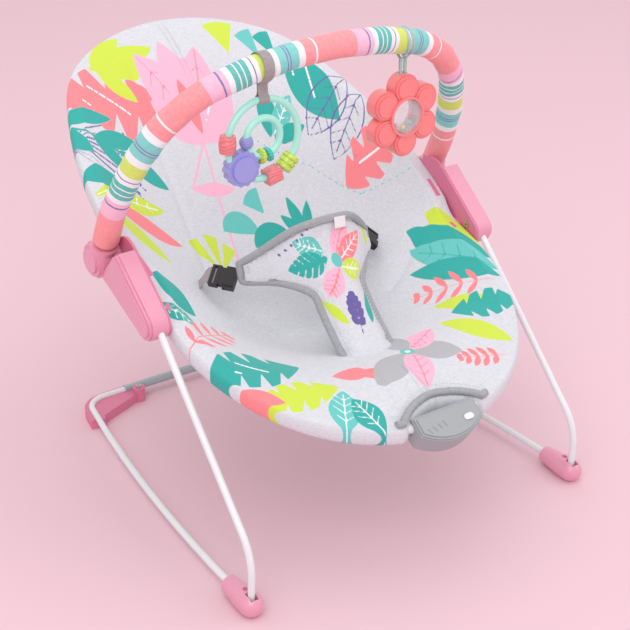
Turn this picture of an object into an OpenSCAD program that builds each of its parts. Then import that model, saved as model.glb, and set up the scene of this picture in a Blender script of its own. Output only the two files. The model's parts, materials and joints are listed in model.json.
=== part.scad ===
// Baby bouncer seat: a sprung wire stand, a sling seat on two bent tubes,
// a padded crotch harness, a vibration unit and a toy bar with two hanging toys.
// Millimetres, +Z up, -Y is the front where the child's feet point.
// The origin lies on the floor, in the middle of the whole object.

/* [Base] */
// Half the spacing of the two front feet
foot_half_w = 225; // [200:1:260]
// Front foot pivot to the rear cross tube
base_len = 470; // [420:1:520]
// Diameter of the leg and rail wire
wire_d = 8; // [6:0.5:10]
// Height of the rail wire's centre
rail_h = 13; // [11:0.5:16]
// Toe-in of a rail where it leaves the front foot
toe_in_front = 1.5; // [0:0.5:3]
// Toe-in of a rail where it reaches the rear corner
toe_in_rear = 10.5; // [8:0.5:13]
// Bend radius of the rear corners
rear_bend_r = 28; // [22:1:40]
// Outer diameter of the rear cross tube
cross_tube_d = 11; // [10.5:0.5:14]

/* [Legs] */
// Straight stretch of leg above the front foot
leg_rise = 34; // [25:1:50]
// Bend radius of a leg
leg_bend_r = 62; // [45:1:90]
// Slope of the long straight stretch
leg_slope = 45.4; // [40:0.2:50]
// Length of the long straight stretch
leg_len = 235; // [200:1:275]

/* [Side hubs] */
// Distance between the two round ends of a hub
hub_len = 84; // [76:1:100]
// Slope of a hub
hub_slope = 30.8; // [25:0.2:36]
// Radius of a hub's rear end
hub_rear_r = 28; // [26:0.5:32]
// Radius of a hub's front end
hub_front_r = 17; // [15:0.5:20]
// Thickness of a hub's outer shell
hub_outer_t = 24; // [20:0.5:30]
// Wall of the hub shells
hub_wall = 2.6; // [2:0.1:4]

/* [Seat tubes] */
// Diameter of the two bent seat tubes
seat_tube_d = 12; // [10:0.5:14]
// Length of the back loop along its slope
back_len = 328; // [280:1:380]
// Slope of the back loop
back_slope = 28; // [24:0.5:34]
// Bend radius of the back loop's shoulders
back_corner_r = 124.5; // [105:0.5:140]
// Length of the front loop along its slope
front_len = 242.5; // [205:0.5:285]
// Downward slope of the front loop
front_slope = 20; // [16:0.5:24]
// Bend radius of the front loop's corners
front_corner_r = 184; // [170:1:190]

/* [Seat pad] */
// How far the pad reaches past the tubes' centre line
pad_edge = 8; // [6.5:0.5:12]
// Deepest sag below the tubes
pad_depth = 106; // [80:1:120]
// Thickness of the pad, measured upright
pad_t = 6; // [5:0.5:9]
// Depth of the notch round the vibration unit
notch_depth = 29; // [18:1:30]
// Half width of that notch
notch_half_w = 52; // [48:1:60]

/* [Harness] */
// Half width of the waist part
waist_half_w = 88; // [75:1:100]
// Half width of the part between the legs
crotch_half_w = 33; // [27:1:40]
// Thickness of the harness pad
harness_t = 7; // [5:0.5:10]
// Width of the waist webbing
webbing_w = 20; // [16:1:25]

/* [Toy bar] */
// Half width of the toy bar
bar_half_w = 227; // [202:1:260]
// Height of the toy bar along its own plane
bar_len = 226; // [190:1:270]
// Lean of the toy bar towards the front
bar_lean = 25.2; // [15:0.2:35]
// Bend radius of the toy bar's corners
bar_corner_r = 137.5; // [115:0.5:150]
// Diameter of the bar inside the sleeve
bar_rod_d = 10; // [8:0.5:12]
// Diameter of the padded sleeve
sleeve_d = 28; // [24:0.5:32]
// Radius of the round knuckle on each end
knuckle_r = 21; // [19:0.5:23]
// Thickness of a knuckle across the object
knuckle_t = 31; // [28:0.5:34]

/* [Toys] */
// How far left of the middle the ring toy hangs
ring_x = 81; // [70:1:100]
// How far right of the middle the flower toy hangs
flower_x = 104; // [90:1:110]
// Radius of the outer ring's centre line
ring_r = 44; // [40:0.5:48]
// Radius of the inner ring's centre line
inner_ring_r = 21; // [18:0.5:22]
// Diameter of the rings' round section
ring_d = 7.6; // [6:0.2:9]
// Free length of the ring toy's strap below the sleeve
strap_drop = 17; // [12:0.5:30]
// Free length of the flower's ribbons below the sleeve
ribbon_drop = 22; // [15:0.5:35]
// Radius of the circle that the petals stand on
petal_ring_r = 31; // [29:0.5:35]
// Radius of one petal
petal_r = 17; // [15:0.5:19]
// Radius of the flower's window
window_r = 20; // [17:0.5:21]

/* [Vibration unit] */
// Half width of the unit
unit_half_w = 41; // [38:0.5:45]
// Height of the unit's face
unit_h = 38; // [34:0.5:42]
// Thickness of the front housing
unit_front_t = 13; // [12:0.5:16]
// Thickness of the back cover
unit_back_t = 17; // [16.5:0.5:20]
// Tilt of the unit's face
unit_tilt = 35; // [28:1:42]

/* [Hidden] */

$fn = 96;
gap = 0.3;      // clearance between pieces that pass each other
fit = 0.05;     // radial clearance of a running fit
wire_r = wire_d / 2;
tube_r = seat_tube_d / 2;
pink = [0.90, 0.60, 0.70];
deep_pink = [0.86, 0.48, 0.61];
coral = [0.98, 0.56, 0.56];
mint = [0.66, 0.94, 0.87];
lavender = [0.62, 0.64, 0.90];
lime = [0.81, 0.88, 0.24];
grey = [0.67, 0.71, 0.72];
white_paint = [0.93, 0.95, 0.96];

// ---- The side profile, as [y, z] points, with y measured from the front foot's pivot ----
pivot_h = 12;                                   // height of the leg's ball in the front foot
leg_start_lean = 2;                             // a leg leaves its foot leaning forward
leg_turn = 90 + leg_start_lean - leg_slope;
leg_bend_start = [-leg_rise * sin(leg_start_lean), pivot_h + leg_rise * cos(leg_start_lean)];
leg_bend_end = leg_bend_start + leg_bend_r * [sin(90 + leg_start_lean) - sin(leg_slope),
                                              cos(leg_slope) - cos(90 + leg_start_lean)];
leg_end = leg_bend_end + leg_len * [cos(leg_slope), sin(leg_slope)];
hub_front = leg_end + [8, 0];
hub_rear = hub_front + hub_len * [cos(hub_slope), sin(hub_slope)];
bar_pivot = hub_rear + [29, -3];
back_start = hub_rear + [0, -4.6];
front_start = hub_front + [10, -3];
bar_start_drop = 22;                            // from the pivot to where the bar's bends start
bar_start = bar_pivot + bar_start_drop * [-sin(bar_lean), cos(bar_lean)];

// ---- Widths ----
leg_lean_in = 4;                                // a hub stands this much closer in than a foot
hub_x = foot_half_w - leg_lean_in;              // middle of a hub's outer shell, nearly
hub_face_x = hub_x - 9;                         // where a hub's two shells meet
back_half_w = hub_face_x - 12;
front_half_w = hub_face_x - 16;

// A loop is [half width, length, corner radius, start angle, corner's first angle, its last angle].
back_loop = [back_half_w, back_len, back_corner_r, -4.2, 23.6, 55.4];
front_loop = [front_half_w, front_len, front_corner_r, -6, 33.4, 43.6];
bar_loop = [bar_half_w, bar_len, bar_corner_r, -2.2, 22, 73.2];

// The radii of a loop's side arcs and of its middle arc, so that it meets its width and length.
function loop_det(l) = (cos(l[3]) - cos(l[4])) * (1 - sin(l[5])) - cos(l[5]) * (sin(l[4]) - sin(l[3]));
function loop_rest(l) = [l[0] - l[2] * (cos(l[4]) - cos(l[5])), l[1] - l[2] * (sin(l[5]) - sin(l[4]))];
function side_r(l) = (loop_rest(l)[0] * (1 - sin(l[5])) - cos(l[5]) * loop_rest(l)[1]) / loop_det(l);
function middle_r(l) = ((cos(l[3]) - cos(l[4])) * loop_rest(l)[1]
    - (sin(l[4]) - sin(l[3])) * loop_rest(l)[0]) / loop_det(l);
function loop_moves(l) = [[side_r(l), l[4] - l[3]], [l[2], l[5] - l[4]], [middle_r(l), 180 - 2 * l[5]],
    [l[2], l[5] - l[4]], [side_r(l), l[4] - l[3]]];

// Half the width of a loop, grown outwards by off, at the distance h along its slope.
function side_c(l) = [l[0] - side_r(l) * cos(l[3]), -side_r(l) * sin(l[3])];
function corner_c(l) = side_c(l) + (side_r(l) - l[2]) * [cos(l[4]), sin(l[4])];
function arc_w(c, r, h) = c[0] + sqrt(max(0, r * r - (h - c[1]) * (h - c[1])));
function loop_w(l, h, off) =
    h < side_c(l)[1] + (side_r(l) + off) * sin(l[4]) ? arc_w(side_c(l), side_r(l) + off, h) :
    h < corner_c(l)[1] + (l[2] + off) * sin(l[5]) ? arc_w(corner_c(l), l[2] + off, h) :
    arc_w([0, l[1] - middle_r(l)], middle_r(l) + off, h);

// The height of a loop's bar above its start, and the slope there, at the distance x from its middle.
function loop_h(l, x) =
    x < (middle_r(l)) * cos(l[5]) ? l[1] - middle_r(l) + sqrt(middle_r(l) * middle_r(l) - x * x) :
    corner_c(l)[1] + sqrt(max(0, l[2] * l[2] - (x - corner_c(l)[0]) * (x - corner_c(l)[0])));

// ---- The whole object's middle, front to back ----
back_end_y = back_start[0] + (back_len + pad_edge) * cos(back_slope);
unit_c = front_start + front_len * [-cos(front_slope), -sin(front_slope)] + [-14, -3];
unit_edge = 3;                                  // rounded edge of the unit's face
unit_front_y = unit_c[0] - unit_h / 2 * cos(unit_tilt) + unit_edge * sin(unit_tilt);
mid_y = (back_end_y + unit_front_y) / 2;

// Moves what is drawn from the front foot's pivot to the object's own origin.
module place() { translate([0, -mid_y, 0]) children(); }
module both() { children(); mirror([1, 0, 0]) children(); }
module at(p) { translate([0, p[0], p[1]]) children(); }

// A bar's moves: a move is [radius, angle]. A positive radius turns right, a negative one left,
// and radius 0 is straight for that length. Walked, they give a list of [x, y, heading], with the
// heading measured from +Y towards +X and one entry about every step degrees of bend.
function steps_of(m, step) = m[0] == 0 ? 1 : max(2, ceil(m[1] / step));
function moved(p, m, share) = m[0] == 0
    ? [p[0] + share * m[1] * sin(p[2]), p[1] + share * m[1] * cos(p[2]), p[2]]
    : let (turn = m[0] > 0 ? 1 : -1, r = abs(m[0]), a = p[2], b = a + turn * share * m[1])
        [p[0] + turn * r * (cos(a) - cos(b)), p[1] + turn * r * (sin(b) - sin(a)), b];
function walk(moves, step, p, i = 0) = i == len(moves) ? [] :
    concat([for (k = [1 : steps_of(moves[i], step)]) moved(p, moves[i], k / steps_of(moves[i], step))],
        walk(moves, step, moved(p, moves[i], 1), i + 1));

// A round bar swept along moves from the pose start = [x, y, heading], as one closed surface.
module swept(moves, start, r, bore = 0, sides = 14, step = 6) {
    path = concat([start], walk(moves, step, start));
    n = len(path);
    radii = bore > 0 ? [r, bore] : [r];
    points = [for (q = radii, p = path, k = [0 : sides - 1]) let (a = 360 * k / sides)
        [p[0] + q * cos(a) * cos(p[2]), p[1] - q * cos(a) * sin(p[2]), q * sin(a)]];
    function id(s, i, k) = (s * n + i) * sides + k % sides;
    wall = [for (s = [0 : len(radii) - 1], i = [0 : n - 2], k = [0 : sides - 1])
        let (a = id(s, i, k), b = id(s, i, k + 1), c = id(s, i + 1, k + 1), d = id(s, i + 1, k))
        each s == 0 ? [[a, b, c], [a, c, d]] : [[a, c, b], [a, d, c]]];
    ends = bore > 0
        ? [for (k = [0 : sides - 1]) each [
            [id(0, 0, k), id(1, 0, k), id(1, 0, k + 1)], [id(0, 0, k), id(1, 0, k + 1), id(0, 0, k + 1)],
            [id(0, n - 1, k), id(1, n - 1, k + 1), id(1, n - 1, k)],
            [id(0, n - 1, k), id(0, n - 1, k + 1), id(1, n - 1, k + 1)]]]
        : [[for (k = [sides - 1 : -1 : 0]) id(0, 0, k)], [for (k = [0 : sides - 1]) id(0, n - 1, k)]];
    polyhedron(points, concat(wall, ends));
}

// A whole loop, lying in the XY plane, with a straight tail below y = 0 at each end.
module loop_bar(l, r, bore = 0, tail = 0, sides = 14) {
    moves = concat(tail > 0 ? [[0, tail]] : [], loop_moves(l), tail > 0 ? [[0, tail]] : []);
    swept(moves, [-l[0] - tail * sin(l[3]), -tail * cos(l[3]), l[3]], r, bore, sides);
}
// Only the middle arc of a loop, as a full ring, for what wraps round it.
module loop_middle(l, r) {
    translate([0, l[1] - middle_r(l), 0]) rotate_extrude($fn = 240)
        translate([middle_r(l), 0]) circle(r = r, $fn = 40);
}

module rounded_slab(w, d, h, r) {
    linear_extrude(h) {
        square([w - 2 * r, d], center = true);
        square([w, d - 2 * r], center = true);
        for (x = [-1, 1], y = [-1, 1]) translate([x * (w / 2 - r), y * (d / 2 - r)]) circle(r);
    }
}

// ================================================================ base
rail_start_y = 9;                // the rail stops short of the leg's ball in the foot
rail_head = 38;                  // straight stretch inside the front foot
rail_tail = 27;                  // straight stretch before the rear corner
rail_arc_r = (base_len - rear_bend_r * (1 - sin(toe_in_rear)) - rail_tail * cos(toe_in_rear)
    - rail_head * cos(toe_in_front) - rail_start_y) / (sin(toe_in_rear) - sin(toe_in_front));
rail_corner_x = foot_half_w + 1 - rail_arc_r * (cos(toe_in_front) - cos(toe_in_rear))
    - rail_tail * sin(toe_in_rear) - rail_head * sin(toe_in_front);
rail_corner_y = base_len - rear_bend_r * (1 - sin(toe_in_rear));
rail_turned_x = rail_corner_x - rear_bend_r * cos(toe_in_rear);
rear_screw_inset = 44;           // from the end of the corner's bend to the screw
cross_half = rail_turned_x - rear_screw_inset + 14;
wire_insert = 40;                // length of wire inside the cross tube

module rail_path() {
    translate([0, 0, rail_h]) swept([[0, rail_head], [rail_arc_r, toe_in_rear - toe_in_front],
        [0, rail_tail], [rear_bend_r, 90 - toe_in_rear], [0, rear_screw_inset - 14 + wire_insert]],
        [-(foot_half_w + 1), rail_start_y, toe_in_front], wire_r, 0, 14, 2.5);
}
// The straight room that the wire takes in the front foot, and its groove round the rear corner.
module rail_head_room() {
    translate([-(foot_half_w + 1), rail_start_y, rail_h]) rotate([0, 0, -toe_in_front]) rotate([-90, 0, 0])
        cylinder(h = rail_head + 10, r = wire_r + fit);
}
module rail_corner_room() {
    groove_w = wire_d + 2 * fit;
    translate([0, 0, rail_h - groove_w / 2]) {
        translate([-rail_corner_x, rail_corner_y, 0]) rotate([0, 0, -toe_in_rear]) {
            translate([-groove_w / 2, -rail_tail - 10, 0]) cube([groove_w, rail_tail + 10, groove_w]);
            translate([rear_bend_r, 0, 0]) rotate([0, 0, 90 + toe_in_rear])
                rotate_extrude(angle = 90 - toe_in_rear, $fn = 240)
                    translate([rear_bend_r - groove_w / 2 - bend_inset / 2, 0])
                        square([groove_w + bend_inset, groove_w]);
        }
        translate([-rail_turned_x, base_len - groove_w / 2, 0]) cube([90, groove_w, groove_w]);
    }
}

module rail_wire_left() { color(white_paint) place() rail_path(); }
module rail_wire_right() { color(white_paint) place() mirror([1, 0, 0]) rail_path(); }

module rear_cross_tube() {
    color(grey) place() translate([0, base_len, rail_h]) rotate([0, 90, 0]) difference() {
        cylinder(h = 2 * cross_half, r = cross_tube_d / 2, center = true);
        both_ends() cylinder(h = wire_insert + 2, r = wire_r + fit);
        cylinder(h = 2 * cross_half + 2, r = cross_tube_d / 2 - 1.2, center = true);
    }
}
module both_ends() {
    for (s = [-1, 1]) rotate([0, s > 0 ? 0 : 180, 0]) translate([0, 0, cross_half - wire_insert]) children();
}

// An L-shaped corner bracket that the wire lies on, with a web and a screwed boss.
foot_block_w = 19;
bend_inset = 0.2;                // the bracket's bend is this much slimmer on each side
rear_foot_h = rail_h - 0.4;
module rear_foot() {
    block_r = foot_block_w / 2;
    difference() {
        union() {
            translate([-rail_corner_x, rail_corner_y, 0]) rotate([0, 0, -toe_in_rear]) {
                translate([-block_r, -26, 0]) cube([foot_block_w, 26, rear_foot_h]);
                translate([rear_bend_r, 0, 0]) rotate([0, 0, 90 + toe_in_rear])
                    rotate_extrude(angle = 90 - toe_in_rear)
                        translate([rear_bend_r - block_r + bend_inset, 0])
                            square([foot_block_w - 2 * bend_inset, rear_foot_h - 0.3]);
            }
            translate([-rail_turned_x, base_len - block_r, 0])
                cube([rear_screw_inset + 6, foot_block_w, rear_foot_h]);
            linear_extrude(rear_foot_h) polygon([[-rail_corner_x + 6, rail_corner_y - 20],
                [-rail_corner_x + 4, rail_corner_y + 8], [-rail_turned_x, base_len - block_r + 2],
                [-rail_turned_x + rear_screw_inset, base_len - block_r + 1],
                [-rail_turned_x + rear_screw_inset - 2, base_len - block_r - 7]]);
            translate([-rail_turned_x + rear_screw_inset, base_len - 13, 0]) cylinder(h = rail_h + 6, r = 8);
        }
        rail_corner_room();
        translate([-cross_half - gap, base_len, rail_h]) rotate([0, 90, 0])
            cylinder(h = 60, r = cross_tube_d / 2 + fit);
        translate([-rail_turned_x + rear_screw_inset, base_len - 13, -1]) cylinder(h = 40, r = 2);
        translate([-rail_turned_x + rear_screw_inset, base_len - 13, -1]) cylinder(h = 4, r = 4);
    }
}
module rear_foot_left() { color(deep_pink) place() rear_foot(); }
module rear_foot_right() { color(deep_pink) place() mirror([1, 0, 0]) rear_foot(); }

module rear_foot_screws() {
    color("silver") place() both()
        translate([-rail_turned_x + rear_screw_inset, base_len - 13, rail_h + 6]) {
            difference() {
                cylinder(h = 2, r = 3.6);
                translate([0, 0, 0.8]) cube([4.4, 1, 3], center = true);
                translate([0, 0, 0.8]) cube([1, 4.4, 3], center = true);
            }
            translate([0, 0, -14]) cylinder(h = 14, r = 1.95);
        }
}

// A rounded sleeve over the rail's end, with a slot that the leg rises through.
front_foot_r = 12;
front_foot_back = 44;
leg_ball_room = 0.3;
module front_foot() {
    slot_half_w = wire_r + 0.7;
    translate([-foot_half_w, 0, 0]) difference() {
        intersection() {
            union() {
                translate([0, 0, pivot_h]) sphere(r = front_foot_r + 1.5);
                translate([0, 0, pivot_h]) rotate([-90, 0, 0]) cylinder(h = 14, r = front_foot_r + 1.5);
                translate([0, 14, pivot_h]) rotate([-90, 0, 0])
                    cylinder(h = front_foot_back - 14, r1 = front_foot_r + 1.5, r2 = front_foot_r - 2);
            }
            translate([-20, -20, 0]) cube([40, 80, 40]);
        }
        translate([0, 0, pivot_h]) sphere(r = leg_ball_r + leg_ball_room);
        translate([-slot_half_w, -8, pivot_h]) cube([2 * slot_half_w, 13, 30]);
        translate([0, 11, pivot_h + front_foot_r - 2]) rounded_slab(5, 7, 6, 2);
        translate([foot_half_w, 0, 0]) rail_head_room();
    }
}
module front_foot_left() { color(pink) place() front_foot(); }
module front_foot_right() { color(pink) place() mirror([1, 0, 0]) front_foot(); }

// ================================================================ legs and hubs
leg_inward = atan(leg_lean_in / (leg_end[1] - pivot_h));
module leg_path(r) {
    leg_frame() rotate([90, 0, 90])
        swept([[0, leg_rise], [leg_bend_r, leg_turn], [0, leg_len]], [0, 0, -leg_start_lean], r);
}
module leg_frame() { translate([-foot_half_w, 0, pivot_h]) rotate([0, leg_inward, 0]) children(); }
leg_ball_r = wire_r + 0.4;
module leg() {
    leg_path(wire_r);
    leg_frame() sphere(r = leg_ball_r);
}
// The room that a leg's straight end takes in the hub.
leg_in_hub = 60;
module leg_end_room() {
    leg_frame() at(leg_bend_end - [0, pivot_h]) rotate([leg_slope - 90, 0, 0])
        translate([0, 0, leg_len - leg_in_hub]) cylinder(h = leg_in_hub + gap, r = wire_r + fit);
}
module leg_left() { color(white_paint) place() leg(); }
module leg_right() { color(white_paint) place() mirror([1, 0, 0]) leg(); }

// The hub's side outline, grown by off, as a 2-D shape in [y, z].
module hub_outline(off = 0) {
    tilt = asin((hub_rear_r - hub_front_r) / hub_len);
    along = [cos(hub_slope), sin(hub_slope)];
    across = [-sin(hub_slope), cos(hub_slope)];
    translate(hub_rear) circle(hub_rear_r + off);
    translate(hub_front) circle(hub_front_r + off);
    function edge(c, r, s) = c + (r - flat_inset + off) * (s * cos(tilt) * across - sin(tilt) * along);
    polygon([edge(hub_front, hub_front_r, 1), edge(hub_rear, hub_rear_r, 1),
        edge(hub_rear, hub_rear_r, -1), edge(hub_front, hub_front_r, -1)]);
}
flat_inset = 0.15;               // the hub's flats lie this far inside its rounds
// Stands a 2-D [y, z] shape up, from x = -x1 to x = -x0.
module side_slab(x0, x1) {
    translate([-x1, 0, 0]) rotate([90, 0, 90]) linear_extrude(x1 - x0) children();
}
knuckle_face_x = hub_face_x + 0.5;
knuckle_x = knuckle_face_x + knuckle_t;
knuckle_collar_h = 29;
screw_spots = [hub_front + [2, 8], hub_rear + [3, -19]];

module hub_outer() {
    difference() {
        union() {
            side_slab(hub_face_x, hub_face_x + hub_outer_t - 5) hub_outline();
            side_slab(hub_face_x, hub_face_x + hub_outer_t - 1.8) hub_outline(-2);
            side_slab(hub_face_x, hub_face_x + hub_outer_t) hub_outline(-5);
        }
        side_slab(hub_face_x - 1, hub_face_x + hub_outer_t - 5 - hub_wall) difference() {
            hub_outline(-hub_wall - 2);
            for (p = screw_spots) translate(p) circle(4.5);
            translate(leg_end - [6, 6]) circle(hub_front_r - 5);
        }
        side_slab(hub_face_x - 1, knuckle_x + 5) translate(bar_pivot) circle(knuckle_r + gap);
        side_slab(hub_face_x - 1, knuckle_x + 5) bar_sweep();
        side_slab(hub_face_x - 1, hub_face_x + 10) for (p = screw_spots) translate(p) circle(1.6);
        leg_end_room();
    }
}
// The space that the knuckle's collar sweeps as the bar turns.
bar_fold_forward = 18;            // room for a fold of this much, in degrees
bar_fold_back = 25;
bar_sweep_r = 64;                // reach of the room that the folding sleeve needs
module bar_sweep() {
    collar_half = knuckle_r - 2;
    translate(bar_pivot) {
        for (a = [-bar_fold_back, 0, bar_fold_forward]) rotate(a + bar_lean)
            translate([-collar_half, 0]) square([2 * collar_half, bar_sweep_r - 2]);
        intersection() {
            circle(bar_sweep_r);
            polygon([[0, 0], 90 * [-sin(bar_lean + bar_fold_forward), cos(bar_lean + bar_fold_forward)],
                120 * [-sin(bar_lean), cos(bar_lean)],
                90 * [-sin(bar_lean - bar_fold_back), cos(bar_lean - bar_fold_back)]]);
        }
    }
}
module hub_outer_left() { color(pink) place() hub_outer(); }
module hub_outer_right() { color(pink) place() mirror([1, 0, 0]) hub_outer(); }

// The inner shell carries the sockets of both seat tubes and the toy bar's pivot pin.
inner_t = 3;
pin_r = 6;
pin_cover = 4.2;                 // closed wall of a knuckle outside its pin
socket_r = tube_r + 2.6;
socket_end = 3;                  // thickness of a socket's closed end
module back_frame() { at(back_start) rotate([back_slope, 0, 0]) children(); }
module front_frame() { at(front_start) rotate([front_slope, 0, 0]) rotate([0, 0, 180]) children(); }
tube_tail = 24;                  // straight end of a seat tube, inside its socket
// A cylinder round a loop's left tail, reaching past both of the tail's ends.
module tail_room(l, r, below, above) {
    translate([-l[0], 0, 0]) rotate([0, 0, -l[3]]) translate([0, -tube_tail - below, 0]) rotate([-90, 0, 0])
        cylinder(h = tube_tail + below + above, r = r);
}
module hub_inner() {
    difference() {
        union() {
            side_slab(hub_face_x - inner_t, hub_face_x) {
                hub_outline(-0.6);
                translate(bar_pivot) circle(pin_r + 8);
            }
            side_slab(hub_face_x - 1, knuckle_x - pin_cover - gap) translate(bar_pivot) circle(pin_r);
            intersection() {
                back_frame() tail_room(back_loop, socket_r, socket_end, 0);
                side_slab(0, hub_face_x) translate(hub_rear) circle(90);
            }
            mirror([1, 0, 0]) front_frame() tail_room(front_loop, socket_r, socket_end, 0);
            side_slab(front_half_w, hub_face_x - 1)
                translate(front_start + tube_tail / 2 * [cos(front_slope), sin(front_slope)])
                    circle(socket_r - 1);
            side_slab(back_half_w, hub_face_x - 1)
                translate(back_start - tube_tail / 2 * [cos(back_slope), sin(back_slope)])
                    circle(socket_r - 1);
        }
        back_frame() tail_room(back_loop, tube_r + fit, 0, 5);
        mirror([1, 0, 0]) front_frame() tail_room(front_loop, tube_r + fit, 0, 5);
        side_slab(hub_face_x - 30, hub_face_x + 1) for (p = screw_spots) translate(p) circle(2.1);
        leg_end_room();
    }
}
module hub_inner_left() { color(deep_pink) place() hub_inner(); }
module hub_inner_right() { color(deep_pink) place() mirror([1, 0, 0]) hub_inner(); }

module hub_screws() {
    color("silver") place() both() for (p = screw_spots) {
        side_slab(hub_face_x - inner_t - 2, hub_face_x - inner_t) translate(p) difference() {
            circle(3.4);
            square([4, 0.9], center = true);
            square([0.9, 4], center = true);
        }
        side_slab(hub_face_x - inner_t, hub_face_x + 7) translate(p) circle(1.55);
    }
}

tube_wall = 1.2;
module back_tube() { color(white_paint) place() back_frame()
    loop_bar(back_loop, tube_r, tube_r - tube_wall, tube_tail); }
module front_tube() { color(white_paint) place() front_frame()
    loop_bar(front_loop, tube_r, tube_r - tube_wall, tube_tail); }

// ================================================================ seat pad
pad_lift = (socket_r + gap) / cos(back_slope);  // from the tubes' centre line up to the pad's underside
blend_from = front_start[0] + 4;                // the pad changes from one loop to the other here
blend_to = back_start[0] - tube_tail - 4;
pad_front_y = front_start[0] - (front_len + pad_edge) * cos(front_slope);
pad_back_y = back_end_y;
front_peak_power = 2.2;
back_peak_power = 1.5;
cross_power = 2.3;
lip = 16;                                       // the pad lies flat on the tubes this far in

function ease(t) = let (c = min(1, max(0, t))) c * c * (3 - 2 * c);
function back_share(y) = ease((y - blend_from) / (blend_to - blend_from));
function front_w(y) = loop_w(front_loop, (front_start[0] - y) / cos(front_slope), pad_edge);
function back_w(y) = loop_w(back_loop, (y - back_start[0]) / cos(back_slope), pad_edge);
// Near the hubs the front part's edge runs straight back and a little inwards.
side_pull = 22;
function front_side_w(y) = y < front_start[0] ? front_w(y)
    : front_w(front_start[0]) - side_pull * pow((y - front_start[0]) / 90, 2);
function rim_w(y) = front_side_w(y) * (1 - back_share(y)) + back_w(y) * back_share(y);
function rim_z(y) = (front_start[1] + (y - front_start[0]) * tan(front_slope)) * (1 - back_share(y))
    + (back_start[1] + (y - back_start[0]) * tan(back_slope)) * back_share(y) + pad_lift;
function sag_run(y) = min(1, max(0, (y - pad_front_y - lip) / (pad_back_y - pad_front_y - 2 * lip)));
function sag(y) = pad_depth
    * pow(sin(180 * sag_run(y)), sag_run(y) < 0.5 ? front_peak_power : back_peak_power);
function pad_z(x, y) = rim_z(y)
    - sag(y) * (1 - pow(min(1, abs(x) / max(20, rim_w(y) - lip)), cross_power));
function notch(x) = notch_depth * pow(cos(90 * min(1, abs(x) / notch_half_w)), 0.8);

pad_rings = 15;
pad_spokes = 72;
pad_mid_y = (pad_front_y + pad_back_y) / 2;
function rim_point(k) = let (a = 360 * k / pad_spokes,
        y = pad_mid_y - (pad_back_y - pad_front_y) / 2 * cos(a),
        side = sin(a) < 0 ? -1 : 1,
        x = (k % (pad_spokes / 2)) == 0 ? 0 : side * rim_w(y))
    [x, cos(a) > 0.5 ? max(y, pad_front_y + notch(x)) : y];
function pad_point(j, k, up) = let (p = rim_point(k), s = 1 - pow(1 - j / pad_rings, 1.15),
        x = s * p[0], y = pad_mid_y + s * (p[1] - pad_mid_y))
    [x, y, pad_z(x, y) + up];
module seat_pad() {
    n = pad_spokes;
    layer = 1 + pad_rings * n;
    points = [for (up = [0, pad_t]) each concat([[0, pad_mid_y, pad_z(0, pad_mid_y) + up]],
        [for (j = [1 : pad_rings], k = [0 : n - 1]) pad_point(j, k, up)])];
    function at_ring(j, k, side) = side * layer + 1 + (j - 1) * n + (k % n);
    faces = concat(
        [for (k = [0 : n - 1]) [0, at_ring(1, k, 0), at_ring(1, k + 1, 0)]],
        [for (k = [0 : n - 1]) [layer, at_ring(1, k + 1, 1), at_ring(1, k, 1)]],
        [for (j = [1 : pad_rings - 1], k = [0 : n - 1]) each [
            [at_ring(j, k, 0), at_ring(j + 1, k, 0), at_ring(j + 1, k + 1, 0)],
            [at_ring(j, k, 0), at_ring(j + 1, k + 1, 0), at_ring(j, k + 1, 0)],
            [at_ring(j, k, 1), at_ring(j + 1, k + 1, 1), at_ring(j + 1, k, 1)],
            [at_ring(j, k, 1), at_ring(j, k + 1, 1), at_ring(j + 1, k + 1, 1)]]],
        [for (k = [0 : n - 1]) each [
            [at_ring(pad_rings, k, 0), at_ring(pad_rings, k, 1), at_ring(pad_rings, k + 1, 1)],
            [at_ring(pad_rings, k, 0), at_ring(pad_rings, k + 1, 1), at_ring(pad_rings, k + 1, 0)]]]);
    color([0.89, 0.88, 0.91]) place() polyhedron(points, faces);
}

// ================================================================ harness
// The panel is a sheet: a runs from the crotch to the waist's top edge, b from left to right.
crotch_y = 102;
crotch = [crotch_y, pad_z(0, crotch_y) + pad_t + 8];
waist_mid = [178, crotch[1] + 89];
waist_top = [186, crotch[1] + 123];
waist_back = 0.0063;            // how fast the waist part curves back towards its ends
waist_down = 0.0050;            // and down
function mid_line(a) = (1 - a) * (1 - a) * crotch + 2 * a * (1 - a) * (waist_mid + [4, -26])
    + a * a * waist_top;
function panel_half_w(a) = crotch_half_w + (waist_half_w - crotch_half_w) * ease((a - 0.38) / 0.36);
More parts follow.
